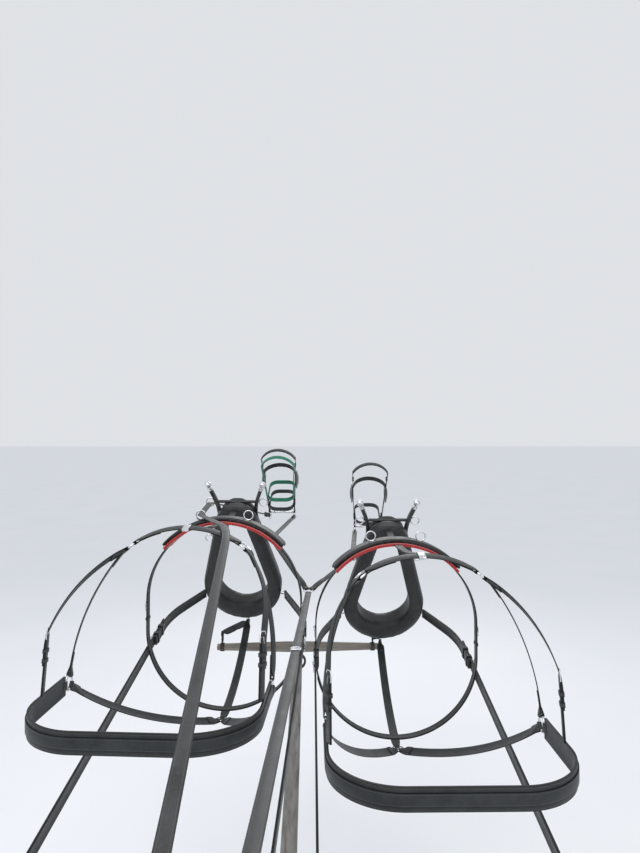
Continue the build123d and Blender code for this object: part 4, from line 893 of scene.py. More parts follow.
def roller_buckle(at, along, outward, strap_width, wire=BUCKLE_WIRE):
    """Frame, centre bar, roller and tongue of one buckle, on the strap's outer face."""
    half = strap_width * BUCKLE_SHARE
    side = strap_width / 2 + wire / 2
    frame_wire = bent_wire(rounded_frame(half - wire / 2, side, wire * FRAME_CORNER), wire)
    bar = rod((0, -side, 0), (0, side, 0), wire * BAR_SHARE)
    roller = rod((half - wire / 2, -side + wire, 0), (half - wire / 2, side - wire, 0), wire * ROLLER_SHARE)
    bends = (
        (-wire * 0.4, 0.2), (wire * 0.5, 0.85), (half * 0.5, 0.8), (half - wire * 0.4, 1.12),
        (half + wire * 0.5, 0.95),
    )
    tongue = bent_wire([(x, 0, wire * height) for x, height in bends], wire * TONGUE_SHARE, closed=False)
    return fixed(joined([frame_wire, bar, roller, tongue]), axes(at, along, outward))


# Places of the near and the off harness

EVENER_HALF, EVENER_Y = 0.450, 0.430
# Each harness's side, turn, how far ahead of its singletree, extra height, and the head's shift
STANDS = (("near", -1, -3.8, 0.120, 0.080, 0.130), ("off", 1, 0, 0, 0, -0.020))
PLACES = {}
for name, side, turn, ahead, lift, shift in STANDS:
    pivot = Matrix.Translation((side * EVENER_HALF, EVENER_Y, GROUND))
    pivot = pivot @ Matrix.Rotation(radians(turn), 4, "Z")
    PLACES[name] = {
        "pivot": pivot,
        "worn": pivot @ Matrix.Translation((0, ahead, lift)),
        "head": pivot @ Matrix.Translation((shift, ahead, lift)),
        "ahead": ahead,
        "lift": lift,
    }


def for_both(pieces, piece, finish=STRAP, place="worn", nodes=None):
    """Copies of one piece in the near and the off harness's places."""
    obj = joined(pieces)
    made = []
    for name, places in PLACES.items():
        replaced = [f"{name}_{n}" for n in ([piece] if nodes is None else nodes)]
        made.append(settle([copied(obj, places[place])], f"{name}_{piece}_dressed", replaced, finish))
    bpy.data.objects.remove(obj)
    return made


def placed(eye, matrix):
    return (matrix @ eye[0], (matrix.to_3x3() @ eye[1]).normalized(), eye[2], eye[3])


# Straps of the body

HIP_LAP = 0.11
hip_face = Vector((0, -0.25, 1)).normalized()
hip_front = Vector((0, hip_face.z, -hip_face.y))
hip_top = Vector((0, HIP_Y, HIP_Z)) + hip_face * HIP_RISE
hips = (hip_eye(-1), hip_eye(1))
hip_strap = belt(hips[0][0], hips[1][0], hip_face, BREADTH, bulge=HIP_RISE, eyes=hips, lap=HIP_LAP)
for_both([hip_strap], "hip_strap")

BACK_WIDTH, PAD_REACH = 0.030, 0.0659
REAR_SAG, FORE_SAG, BACK_END_V, BACK_END_W = -0.014, -0.010, 0.375, 0.0709
KEEPER_REACH, KEEPER_HALF, KEEPER_LEAF = 0.0218 + 0.0014, 0.012, 0.0022
back_runs = (
    (hip_top + hip_front * KEEPER_REACH, (0, GIRTH_Y - PAD_REACH, BACK_TOP + THICK), REAR_SAG),
    ((0, GIRTH_Y + PAD_REACH, BACK_TOP + THICK), on_collar(0, BACK_END_V, BACK_END_W), FORE_SAG),
)
for_both([belt(rear, fore, UP, BACK_WIDTH, bulge=bulge) for rear, fore, bulge in back_runs], "back_strap")

DROP_FACE, REAR_DROP_Y = (0.9, -0.2, 0.35), 0.770
BUCKLE_AT = (0.324, 0.800, 1.440)
REAR_BREADTH = DROP_BREADTH - 0.001
FOOT_TRIM, FRONT_DROP_BOW, REAR_DROP_BOW = 0.0034, 0.044, 0.036
DROP_LOOPS, DROP_LOOP_LIFT, DROP_LOOP_HALF = (0.030, 0.058), 0.001, 0.0062
BILLET_START, BILLET_STEP, BILLET_LIFT, BILLET_POINTS = 0.010, 0.0115, 0.0046, 8
corner_x = BREECH_HALF - BREECH_CORNER
rear_drop_x = corner_x + sqrt(BREECH_CORNER**2 - (BREECH_REAR + BREECH_CORNER - REAR_DROP_Y) ** 2)
drop_gap = DROP_BREADTH * BUCKLE_SHARE + 2 * SEAT
drops = []
drop_buckles = []
for side in BOTH:
    face = to_side(side, *DROP_FACE)
    hip, haunch = hip_eye(side), breech_eye(side)
    buckle_at = to_side(side, *BUCKLE_AT)
    foot = to_side(side, rear_drop_x, REAR_DROP_Y, BREECH_Z + BREECH_WIDTH / 2)
    down = (foot - buckle_at).normalized()
    out = (face - down * face.dot(down)).normalized()
    runs = [BILLET_START + BILLET_STEP * k for k in range(BILLET_POINTS)]
    tip = [(buckle_at + down * run + out * BILLET_LIFT, out) for run in runs]
    drops += [
        belt(buckle_at, foot, face, DROP_BREADTH, trims=(0, FOOT_TRIM)),
        belt(hip[0], haunch[0], face, DROP_BREADTH, bulge=FRONT_DROP_BOW, eyes=(hip, haunch)),
        belt(hip[0], buckle_at, face, REAR_BREADTH, bulge=REAR_DROP_BOW, eyes=(hip, None), beyond=tip),
    ]
    for reach in DROP_LOOPS:
        at = buckle_at + down * (drop_gap + reach) + out * DROP_LOOP_LIFT
        drops.append(keeper_loop(at, down, out, DROP_BREADTH / 2 + LOOP_CLEAR, DROP_LOOP_HALF))
    drop_buckles.append((buckle_at, down, face, DROP_BREADTH))
for_both(drops, "hip_drops")


def out_of_haunch(point):
    """Which way the breeching faces at a point of its line."""
    x, y = point.x, point.y
    if y > BREECH_REAR + BREECH_CORNER:
        return Vector((np.sign(x), 0, 0))
    if abs(x) < corner_x:
        return Vector((0, -1, 0))
    return Vector((x - np.sign(x) * corner_x, y - BREECH_REAR - BREECH_CORNER, 0)).normalized()


FOLD_LEAF, LAYER_WIDTH, LAYER_LEAF, LAYER_LIFT = 0.0075, 0.034, 0.0036, 0.0056
TAB_BACK, TAB_THICK, TAB_LAP = 0.070, 0.0066, 0.03
breech_ends = ((-1, BREECH_FRONT), (-1, BREECH_REAR), (1, BREECH_REAR), (1, BREECH_FRONT))
breech_corners = [to_side(side, BREECH_HALF, y, BREECH_Z) for side, y in breech_ends]
breech_line = rounded_run(breech_corners, [BREECH_CORNER] * 2)
breech_faces = [out_of_haunch(p) for p in breech_line]
lifted = [p + f * LAYER_LIFT for p, f in zip(breech_line, breech_faces)]
breeching = [
    laid(breech_line, breech_faces, BREECH_WIDTH, FOLD_LEAF),
    laid(lifted, breech_faces, LAYER_WIDTH, LAYER_LEAF),
]
for side in BOTH:
    eye = breech_eye(side)
    tab = to_side(side, BREECH_HALF, BREECH_FRONT - TAB_BACK, BREECH_Z)
    tab = belt(tab, eye[0], to_side(side, 1), LAYER_WIDTH, TAB_THICK, eyes=(None, eye), lap=TAB_LAP)
    breeching.append(tab)
for_both(breeching, "breeching")

CHOKE_ANGLE, SIDE_BOW, POLE_STRAP_BOW = radians(58), 0.060, 0.070
SIDE_FACE = (0.8, 0, -0.9)
choke_reach = FOOT_RADIUS + THICK / 2 + 2 * SEAT
side_runs = []
for side in BOTH:
    haunch = breech_eye(side)
    choke = on_collar(side * choke_reach * cos(CHOKE_ANGLE), FOOT_V - choke_reach * sin(CHOKE_ANGLE))
    side_runs += [
        belt(
            haunch[0], belly_eye[0], to_side(side, *SIDE_FACE), BREADTH,
            bulge=SIDE_BOW, eyes=(haunch, belly_eye),
        ),
        belt(choke, breast_eye[0], to_side(side, 1), DROP_BREADTH, eyes=(None, breast_eye)),
    ]
pole_strap = belt(
    belly_eye[0], breast_eye[0], -UP, BREADTH, bulge=POLE_STRAP_BOW, eyes=(belly_eye, breast_eye)
)
for_both([*side_runs, pole_strap], "side_straps")

# Belly band: from one end of the felt round under the barrel to the other
PAD_LEAN = radians(48)
ARC_STEPS, DROP_STEPS, LOW_STEPS = 26, 8, 60
GIRTH_LEAF, SAFE_WIDTH, SAFE_LEAF, SAFE_LIFT, SAFE_BELOW = 0.0052, 0.030, 0.003, 0.0046, 0.08
GIRTH_BUCKLE_DOWN, GIRTH_KEEPER_DOWN, GIRTH_LOOP_HALF = 0.030, 0.058, 0.0048
billet = BARREL + THICK / 2
start_angle = pi / 2 - PAD_LEAN - SEAT / billet
to_corner = [start_angle * (1 - k / ARC_STEPS) for k in range(ARC_STEPS + 1)]
girth = [(billet * cos(a), BARREL_TOP + billet * sin(a)) for a in to_corner]
girth += [(billet, BARREL_TOP + (BARREL_LOW - BARREL_TOP) * k / DROP_STEPS) for k in range(1, DROP_STEPS)]
half_turn = [pi * k / LOW_STEPS for k in range(LOW_STEPS + 1)]
girth += [(billet * cos(a), BARREL_LOW - billet * sin(a)) for a in half_turn]
girth += [(-billet, BARREL_LOW + (BARREL_TOP - BARREL_LOW) * k / DROP_STEPS) for k in range(1, DROP_STEPS)]
girth += [(-billet * cos(a), BARREL_TOP + billet * sin(a)) for a in to_corner[::-1]]


def out_of_barrel(point):
    """Which way a band round the barrel faces at a point."""
    return Vector((point.x, 0, point.z - min(BARREL_TOP, max(BARREL_LOW, point.z)))).normalized()


girth_points = [Vector((x, GIRTH_Y, z)) for x, z in girth]
safe_points = [p + out_of_barrel(p) * SAFE_LIFT for p in girth_points if p.z < BARREL_LOW - SAFE_BELOW]
belly_band = [
    laid(girth_points, [out_of_barrel(p) for p in girth_points], BREADTH, GIRTH_LEAF),
    laid(safe_points, [out_of_barrel(p) for p in safe_points], SAFE_WIDTH, SAFE_LEAF),
]
for side in BOTH:
    at = to_side(side, billet, GIRTH_Y, BARREL_TOP - GIRTH_BUCKLE_DOWN - GIRTH_KEEPER_DOWN)
    belly_band.append(keeper_loop(at, UP, to_side(side, 1), BREADTH / 2 + LOOP_CLEAR, GIRTH_LOOP_HALF))
for_both(belly_band, "belly_band")

# Back pad and its felt

FELT_LIFT, FELT_WIDTH, FELT_THICK, PINK_DEPTH, FELT_TEETH = 0.006, 0.124, 0.0112, 0.006, 84
TOP_LIFT, TOP_WIDTH, TOP_LEAF, TOP_STEPS = 0.0268, 0.050, 0.0034, 72


def over_barrel(radius, count):
    """Points over the top of the barrel, with the directions that face out of it."""
    angles = [pi / 2 + PAD_LEAN - 2 * PAD_LEAN * k / count for k in range(count + 1)]
    points = [Vector((radius * cos(a), GIRTH_Y, BARREL_TOP + radius * sin(a))) for a in angles]
    return points, [Vector((cos(a), 0, sin(a))) for a in angles]


felt_run = over_barrel(BARREL + FELT_LIFT, FELT_TEETH)
pinked = laid(*felt_run, FELT_WIDTH, FELT_THICK, crease=False, tooth=PINK_DEPTH)
for pad in for_both([pinked], "pad_felt", RED_FELT):
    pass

CLOTH_FRAMES, CLOTH_QUALITY = 20, 4
SOFTEN, FIRM, SKIN_SMOOTH = 0.6, 0.5, 80


def swollen(node, voxel, pressure, cap, settle_steps, firm_steps):
    """A CAD node's copy, remeshed evenly, softened, and filled out under pressure."""
    obj = cad_copy(node)
    obj.data.transform(PLACES["off"]["worn"].inverted())
    add_modifier(obj, "REMESH", mode="VOXEL", voxel_size=voxel)
    add_modifier(obj, "SMOOTH", factor=SOFTEN, iterations=settle_steps)
    apply_all(obj)
    before = points_of(obj)
    cloth = add_modifier(obj, "CLOTH")
    cloth.settings.use_pressure = True
    cloth.settings.uniform_pressure_force = pressure
    cloth.settings.effector_weights.gravity = 0
    cloth.settings.quality = CLOTH_QUALITY
    cloth.point_cache.frame_start = 1
    cloth.point_cache.frame_end = CLOTH_FRAMES
    for number in range(1, CLOTH_FRAMES + 1):
        bpy.context.scene.frame_set(number)
    apply_all(obj)
    moved = points_of(obj) - before
    reach = np.linalg.norm(moved, axis=1)[:, None]
    set_points(obj, before + moved * np.minimum(1, cap / np.maximum(reach, 1e-9)))
    bpy.context.scene.frame_set(1)
    add_modifier(obj, "SMOOTH", factor=FIRM, iterations=firm_steps)
    add_modifier(obj, "SUBSURF", levels=1)
    apply_all(obj)
    smooth(obj, SKIN_SMOOTH)
    return obj


FOOT_STEPS, CREST_STEPS, RISER_STEPS = 34, 18, 12


def collar_outline():
    """Points of the collar's egg shape with the directions that face out of it."""
    low = [-pi - LEAN + (pi + 2 * LEAN) * k / FOOT_STEPS for k in range(FOOT_STEPS + 1)]
    high = [LEAN + (pi - 2 * LEAN) * k / CREST_STEPS for k in range(CREST_STEPS + 1)]
    arcs = []
    for v, radius, angles in ((FOOT_V, FOOT_RADIUS, low), (TOP_V, TOP_RADIUS, high)):
        arc = [(Vector((radius * cos(a), v + radius * sin(a))), Vector((cos(a), sin(a)))) for a in angles]
        arcs.append(arc)
    for arc, following in (arcs, arcs[::-1]):
        end, begin = arc[-1], following[0]
        yield from arc
        for k in range(1, RISER_STEPS):
            yield end[0].lerp(begin[0], k / RISER_STEPS), end[1]


WELTS, WELT_WIRE, WELT_SEARCH = (-0.040, 0.058), 0.0044, 0.06


def welt_round(obj, w):
    """A sewn welt round the collar, laid on its leather."""
    skin = BVHTree.FromPolygons([v.co for v in obj.data.vertices], [p.vertices for p in obj.data.polygons])
    seam = []
    for spot, out in collar_outline():
        start, aim = (on_collar(*(spot + out * far), w) for far in (WELT_SEARCH, -WELT_SEARCH))
        seam.append(skin.ray_cast(start, aim - start)[0])
    return bent_wire(seam, WELT_WIRE, resolution=2)


pad = swollen("off_back_pad", voxel=0.0045, pressure=3.0, cap=0.004, settle_steps=5, firm_steps=5)
top_strap = laid(*over_barrel(BARREL + TOP_LIFT, TOP_STEPS), TOP_WIDTH, TOP_LEAF)
for_both([top_strap], "back_pad_strap", nodes=[])
for piece in for_both([pad], "back_pad", PLAIN):
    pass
collar = swollen("off_collar", voxel=0.0065, pressure=4.0, cap=0.007, settle_steps=9, firm_steps=14)
for piece in for_both([collar, *[welt_round(collar, w) for w in WELTS]], "collar", PLAIN):
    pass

# Hames

HAME, HAME_LEAF = 0.018, 0.0056
BEND_V, BEND_RADIUS, TIP_RUN, TIP_FLARE = 0.230, 0.300, 0.055, radians(35)
LOW_FROM, LOW_SPAN, LOW_STRAP_STEPS = radians(-120), radians(60), 20
HAME_EASE = 0.0040
hame_radius = FOOT_RADIUS + HAME / 2 + SEAT - HAME_INSET
foot = Vector((hame_radius * cos(LEAN), FOOT_V + hame_radius * sin(LEAN)))
leave = Vector((foot.x - (BEND_V - foot.y) / cos(LEAN) * sin(LEAN), BEND_V))
bend_centre = leave + Vector((cos(LEAN), sin(LEAN))) * BEND_RADIUS
tip_angle = pi / 2 + LEAN - TIP_FLARE
tip_way = Vector((cos(tip_angle), sin(tip_angle)))
bend_end = bend_centre + Vector((cos(tip_angle + pi / 2), sin(tip_angle + pi / 2))) * BEND_RADIUS
hame_end = bend_end + tip_way * TIP_RUN
for name in PLACES:
    bars = eased(f"{name}_hames", HAME_EASE, 3)
    settle([bars], f"{name}_hames_dressed", [f"{name}_hames"], ENAMEL)

strap_gap = SEAT / hame_radius
low_span = LOW_SPAN - 2 * strap_gap
low_angles = [LOW_FROM + strap_gap + low_span * k / LOW_STRAP_STEPS for k in range(LOW_STRAP_STEPS + 1)]
low_points = [on_collar(hame_radius * cos(a), FOOT_V + hame_radius * sin(a)) for a in low_angles]
strap_v = TOP_V + TOP_RADIUS - HAME_INSET + THICK
strap_drop = strap_v - THICK / 2 - bend_centre.y
top_half = bend_centre.x - sqrt((BEND_RADIUS - HAME / 2) ** 2 - strap_drop**2) - HAME - 2 * SEAT
collar_rise = Vector((0, -sin(COLLAR_TILT), cos(COLLAR_TILT)))
hame_belts = [
    laid(low_points, [p - on_collar(0, FOOT_V) for p in low_points], HAME, HAME_LEAF),
    belt(on_collar(-top_half, strap_v), on_collar(top_half, strap_v), collar_rise, HAME),
]
for_both(hame_belts, "hame_straps")

# Bridle and halter

HEAD_HALF, MOUTH_HALF = 0.104, 0.068
BRIDLE, SKIN = 0.026, 0.005
BIT_V, BIT_W, BIT_RING, BIT_SIDE = -0.450, -0.028, 0.038, 0.080
CHEEK_TOP, CHEEK_KEEPERS, CHEEK_LAP = -0.010, (-0.060, -0.330, -0.352), 0.09
CHEEK_LOOP_HALF, CHEEK_LOOP_LENGTH = 0.0046, 0.010
CROWN_V, CROWN_W, CROWN_BOW, BROW_V, BROW_W, BROW_BOW = -0.012, -0.030, 0.062, -0.110, -0.028, 0.080
NOSE_V, NOSE_FRONT, NOSE_BACK, NOSE_CORNER, NOSE_STEP = -0.365, 0.120, -0.070, 0.050, 0.014
HALTER_V, HALTER_FRONT, HALTER_BACK, HALTER_CHEEK_W = -0.290, 0.118, -0.072, -0.062
POLL_V, POLL_CROWN_V, POLL_W, POLL_BOW = -0.030, -0.032, -0.075, 0.060
# How far inside the cheeks' line the nosebands and the halter's top lie
NOSE_IN, HALTER_IN, POLL_IN = 0.001, 0.0024, 0.001
cheek_lean = (HEAD_HALF - BIT_SIDE) / (CHEEK_TOP - BIT_V - BIT_RING)


def head_half(v):
    return HEAD_HALF + (MOUTH_HALF - HEAD_HALF) * v / BIT_V


def cheek_u(v):
    return HEAD_HALF - (CHEEK_TOP - v) * cheek_lean + SKIN / 2


def bit_eye(side):
    return (on_face(side * BIT_SIDE, BIT_V, BIT_W), ACROSS, BIT_RING, WIRE)


face_rise = Vector((0, -sin(HEAD_TILT), cos(HEAD_TILT)))
face_front = on_face(0, 0, 1) - on_face(0, 0, 0)


def nose_loop(v, half, front, back):
    """A closed band round the face."""
    depth = (front - back) / 2
    ring = rounded_frame(half + SKIN / 2, depth + SKIN / 2, NOSE_CORNER - SKIN / 2)
    dense = []
    for a, b in zip(ring, ring[1:] + ring[:1]):
        gap = hypot(b[0] - a[0], b[1] - a[1])
        count = max(1, int(ceil(gap / NOSE_STEP)))
        dense += [(a[0] + (b[0] - a[0]) * k / count, a[1] + (b[1] - a[1]) * k / count) for k in range(count)]
    dense.append(dense[0])
    points = [on_face(u, v, w + (front + back) / 2) for u, w in dense]
    faces = []
    for u, w in dense:
        cu = max(NOSE_CORNER - half, min(half - NOSE_CORNER, u))
        cw = max(NOSE_CORNER - depth, min(depth - NOSE_CORNER, w))
        faces.append(on_face(u - cu, 0, w - cw) - on_face(0, 0, 0))
    return laid(points, faces, BRIDLE, SKIN)


def over_head(half, v, w, face, bulge):
    """A band over the head, from cheek to cheek."""
    return belt(on_face(-half, v, w), on_face(half, v, w), face, BRIDLE, SKIN, bulge=bulge)


bridle = []
for side in BOTH:
    eye = bit_eye(side)
    top = on_face(side * HEAD_HALF, CHEEK_TOP, BIT_W)
    bridle.append(belt(top, eye[0], to_side(side, 1), BRIDLE, SKIN, eyes=(None, eye), lap=CHEEK_LAP))
    for v in CHEEK_KEEPERS:
        at = on_face(side * (cheek_u(v) - SKIN / 2), v, BIT_W)
        halves = (BRIDLE / 2 + LOOP_CLEAR, CHEEK_LOOP_HALF)
        bridle.append(keeper_loop(at, face_rise, to_side(side, 1), *halves, CHEEK_LOOP_LENGTH))
bridle += [
    over_head(HEAD_HALF, CROWN_V, CROWN_W, face_rise, CROWN_BOW),
    over_head(head_half(BROW_V), BROW_V, BROW_W, face_front, BROW_BOW),
    nose_loop(NOSE_V, head_half(NOSE_V) - NOSE_IN, NOSE_FRONT, NOSE_BACK),
]
for_both(bridle, "bridle", place="head")

halter_half = head_half(HALTER_V) - HALTER_IN
halter_top = head_half(POLL_V) - POLL_IN
halter = [nose_loop(HALTER_V, halter_half, HALTER_FRONT, HALTER_BACK)]
for side in BOTH:
    poll = on_face(side * halter_top, POLL_V, POLL_W)
    cheek = on_face(side * (halter_half + SKIN / 2), HALTER_V, HALTER_CHEEK_W)
    halter.append(belt(poll, cheek, to_side(side, 1), BRIDLE, SKIN))
halter.append(over_head(halter_top, POLL_CROWN_V, POLL_W, face_rise, POLL_BOW))
settle(halter, "near_halter_webbing", ["near_halter"], GREEN, place=PLACES["near"]["head"])

CUP_RADIUS, CUP_V, CUP_THICK, CUP_CLEAR, CUP_EASE = 0.058, -0.185, 0.0055, 0.0058, 0.0016
CUP_SIDES, CUP_SMOOTH = 56, 50
# How far in and how far up each ring of the blinder's dome goes
CUP_RINGS = (
    (0.0045, 0.0), (0.001, -0.0012), (0.001, 0.0012), (0.006, 0.0012), (0.008, 0.0032), (0.009, 0.003),
    (0.010, 0.0018), (0.010, 0.0006),
)


def blinder_cup(side):
    """One round blinder: a disc raised in a low dome inside a bound rim."""
    bpy.ops.mesh.primitive_circle_add(vertices=CUP_SIDES, radius=CUP_RADIUS, fill_type="NGON")
    cup = bpy.context.object
    with editing(cup):
        for thickness, depth in CUP_RINGS:
            bpy.ops.mesh.inset(thickness=thickness, depth=depth)
    add_modifier(cup, "SOLIDIFY", thickness=CUP_THICK, offset=-1)
    add_bevel(cup, CUP_EASE, 3)
    apply_all(cup)
    smooth(cup, CUP_SMOOTH)
    u = cheek_u(CUP_V + CUP_RADIUS) + 2 * SEAT + CUP_CLEAR
    return fixed(cup, axes(on_face(side * u, CUP_V, 0), face_rise, to_side(side, 1)))


for_both([blinder_cup(side) for side in BOTH], "blinders", PATENT, "head")

# Bright hardware

for node in ("hame_rings", "strap_rings"):
    settle(rings_of(node), f"{node}_round", [node], CHROME)

PAD_THICK, TERRET_STAND = 0.012, 0.014
TERRET_LEAN, TERRET_FOOT = radians(16), BARREL + PAD_THICK + SEAT + TERRET_STAND
BALL_FLAT, BALL_SMOOTH, BALL_SEGMENTS, BALL_RINGS = 0.97, 80, 36, 20
STEM_SUNK, STEM_RISE, STEM_RADIUS, STEM_TIP = 0.001, 0.0042, 0.0095, 0.0072
FERRULE_BACK, FERRULE_RADIUS, FERRULE_TIP, FERRULE_OVER = 0.016, 0.0128, 0.0104, 0.002
terrets = rings_of("pad_terrets")
balls = []
for points in solids_of("hame_balls"):
    middle, _, (radius, *_) = main_axes(points)
    bpy.ops.mesh.primitive_uv_sphere_add(segments=BALL_SEGMENTS, ring_count=BALL_RINGS, radius=radius)
    knob = bpy.context.object
    shape = points_of(knob)
    shape[:, 2] *= np.where(shape[:, 2] < 0, BALL_FLAT, 1.0)
    set_points(knob, shape)
    knob.data.transform(Matrix.Translation(middle))
    smooth(knob, BALL_SMOOTH)
    balls.append(knob)
for places in PLACES.values():
    for side in BOTH:
        out = to_side(side, sin(TERRET_LEAN), 0, cos(TERRET_LEAN))
        base = Vector((0, GIRTH_Y, BARREL_TOP)) + out * TERRET_FOOT
        terrets.append(rod(base - out * STEM_SUNK, base + out * STEM_RISE, STEM_RADIUS, STEM_TIP, sides=20))
        terrets[-1].data.transform(places["worn"])
        low_end = hame_end - tip_way * FERRULE_BACK
        top, back = (on_collar(side * spot.x, spot.y) for spot in (hame_end, low_end))
        over = top + (top - back).normalized() * FERRULE_OVER
        balls.append(rod(back, over, FERRULE_RADIUS, FERRULE_TIP, sides=24))
        balls[-1].data.transform(places["worn"])
settle(terrets, "pad_terrets_round", ["pad_terrets"], CHROME)
settle(balls, "hame_balls_bright", ["hame_balls"], CHROME)

# A quarter of the bright keeper's outline round the hip strap, with the way that each point faces
KEEPER_QUARTER = (
    ((0.0206, 0.0022), (1, 0)), ((0.0195, 0.0042), (0.7, 0.7)), ((0.0172, 0.0046), (0, 1)),
)
KEEPER_CREST, KEEPER_SOLE = 0.0048, -0.0046
upper = [((-x, z), (-a, b)) for (x, z), (a, b) in KEEPER_QUARTER] + [((0, KEEPER_CREST), (0, 1))]
upper += list(KEEPER_QUARTER[::-1])
lower = [((x, -z), (a, -b)) for (x, z), (a, b) in upper[::-1]]
lower[len(KEEPER_QUARTER)] = ((0, KEEPER_SOLE), (0, -1))
keeper_outline = [lower[-1], *upper, *lower]
keeper = [[hip_front * u + hip_face * w for u, w in rows] for rows in zip(*keeper_outline)]
hip_keeper = laid([hip_top + p for p in keeper[0]], keeper[1], 2 * KEEPER_HALF, KEEPER_LEAF, crease=False)
BUCKLE_LIFT = 0.002
buckles = []
for places in PLACES.values():
    worn = places["worn"]
    turned = worn.to_3x3()
    for at, down, face, width in drop_buckles:
        buckles.append(roller_buckle(worn @ at, turned @ down, turned @ face, width))
    for side in BOTH:
        at = to_side(side, BARREL + THICK + SEAT + BUCKLE_LIFT, GIRTH_Y, BARREL_TOP - GIRTH_BUCKLE_DOWN)
        buckles.append(roller_buckle(worn @ at, turned @ UP, turned @ to_side(side, 1), BREADTH))
    buckles.append(copied(hip_keeper, worn))
bpy.data.objects.remove(hip_keeper)

# Traces, tugs and chains

HOOK_HALF, TRACE_WIDTH, TRACE_THICK = 0.355, 0.045, 0.008
TUG_THICK, RUNNING, KEEPER_WALL = 0.010, 0.0009, 0.003
TUG_X = HOOK_HALF - TRACE_THICK / 2 - RUNNING - TUG_THICK / 2
TRACE_STEP, TUG_BEND = 0.024, 0.450
# The middle and the two outer plies: how far out, how much narrower, how thick
TRACE_PLIES = ((0, 0, 0.0040), (-0.00295, 0.0008, 0.0020), (0.00295, 0.0008, 0.0020))
TUG_PLIES = ((0, 0, 0.0050), (-0.0037, 0.0006, 0.0024), (0.0037, 0.0006, 0.0024))
CLIP_RUNS, CLIP_OUT, CLIP_WIDTH, CLIP_LEAF = (0.0005, 0.014, 0.028, 0.042, 0.056), 0.0052, 0.034, 0.0022
RIVETS = ((0.016, 0.009), (0.016, -0.009), (0.042, 0.009), (0.042, -0.009))
RIVET_OUT, RIVET_HIGH, RIVET_RADIUS, RIVET_TIP = 0.006, 0.0022, 0.0036, 0.0022
TUG_KEEPERS, TUG_KEEPER_LENGTH, TUG_KEEPER_LEAF, TUG_BUCKLE_OUT = (0.032, 0.100), 0.020, 0.0026, 0.001
BUCKLE_AHEAD, TUG_LAP = 0.090, 0.230
HOOK_OVER_BAR = 0.008
DRAFT_V, DRAFT_RING = -0.215, 0.020
tree_low, tree_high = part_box("off_singletree")
hook_height = (tree_low.z + tree_high.z) / 2 - GROUND + HOOK_OVER_BAR
draft_reach = hypot(DRAFT_RING, WIRE / 2) + SEAT
half_clear = HAME / 2 + (HAME_INSET - HAME + SEAT) + draft_reach
draft_u = sqrt((hame_radius + half_clear) ** 2 - (DRAFT_V - FOOT_V) ** 2)
draft = on_collar(draft_u, DRAFT_V)
keeper_inside, keeper_outside = TUG_X - TUG_THICK / 2 - SEAT, HOOK_HALF + TRACE_THICK / 2 + RUNNING


def plied(points, faces, plies):
    """The sewn layers of a trace or tug."""
    return [
        laid([p + f * shift for p, f in zip(points, faces)], faces, TRACE_WIDTH - narrower, leaf)
        for shift, narrower, leaf in plies
    ]


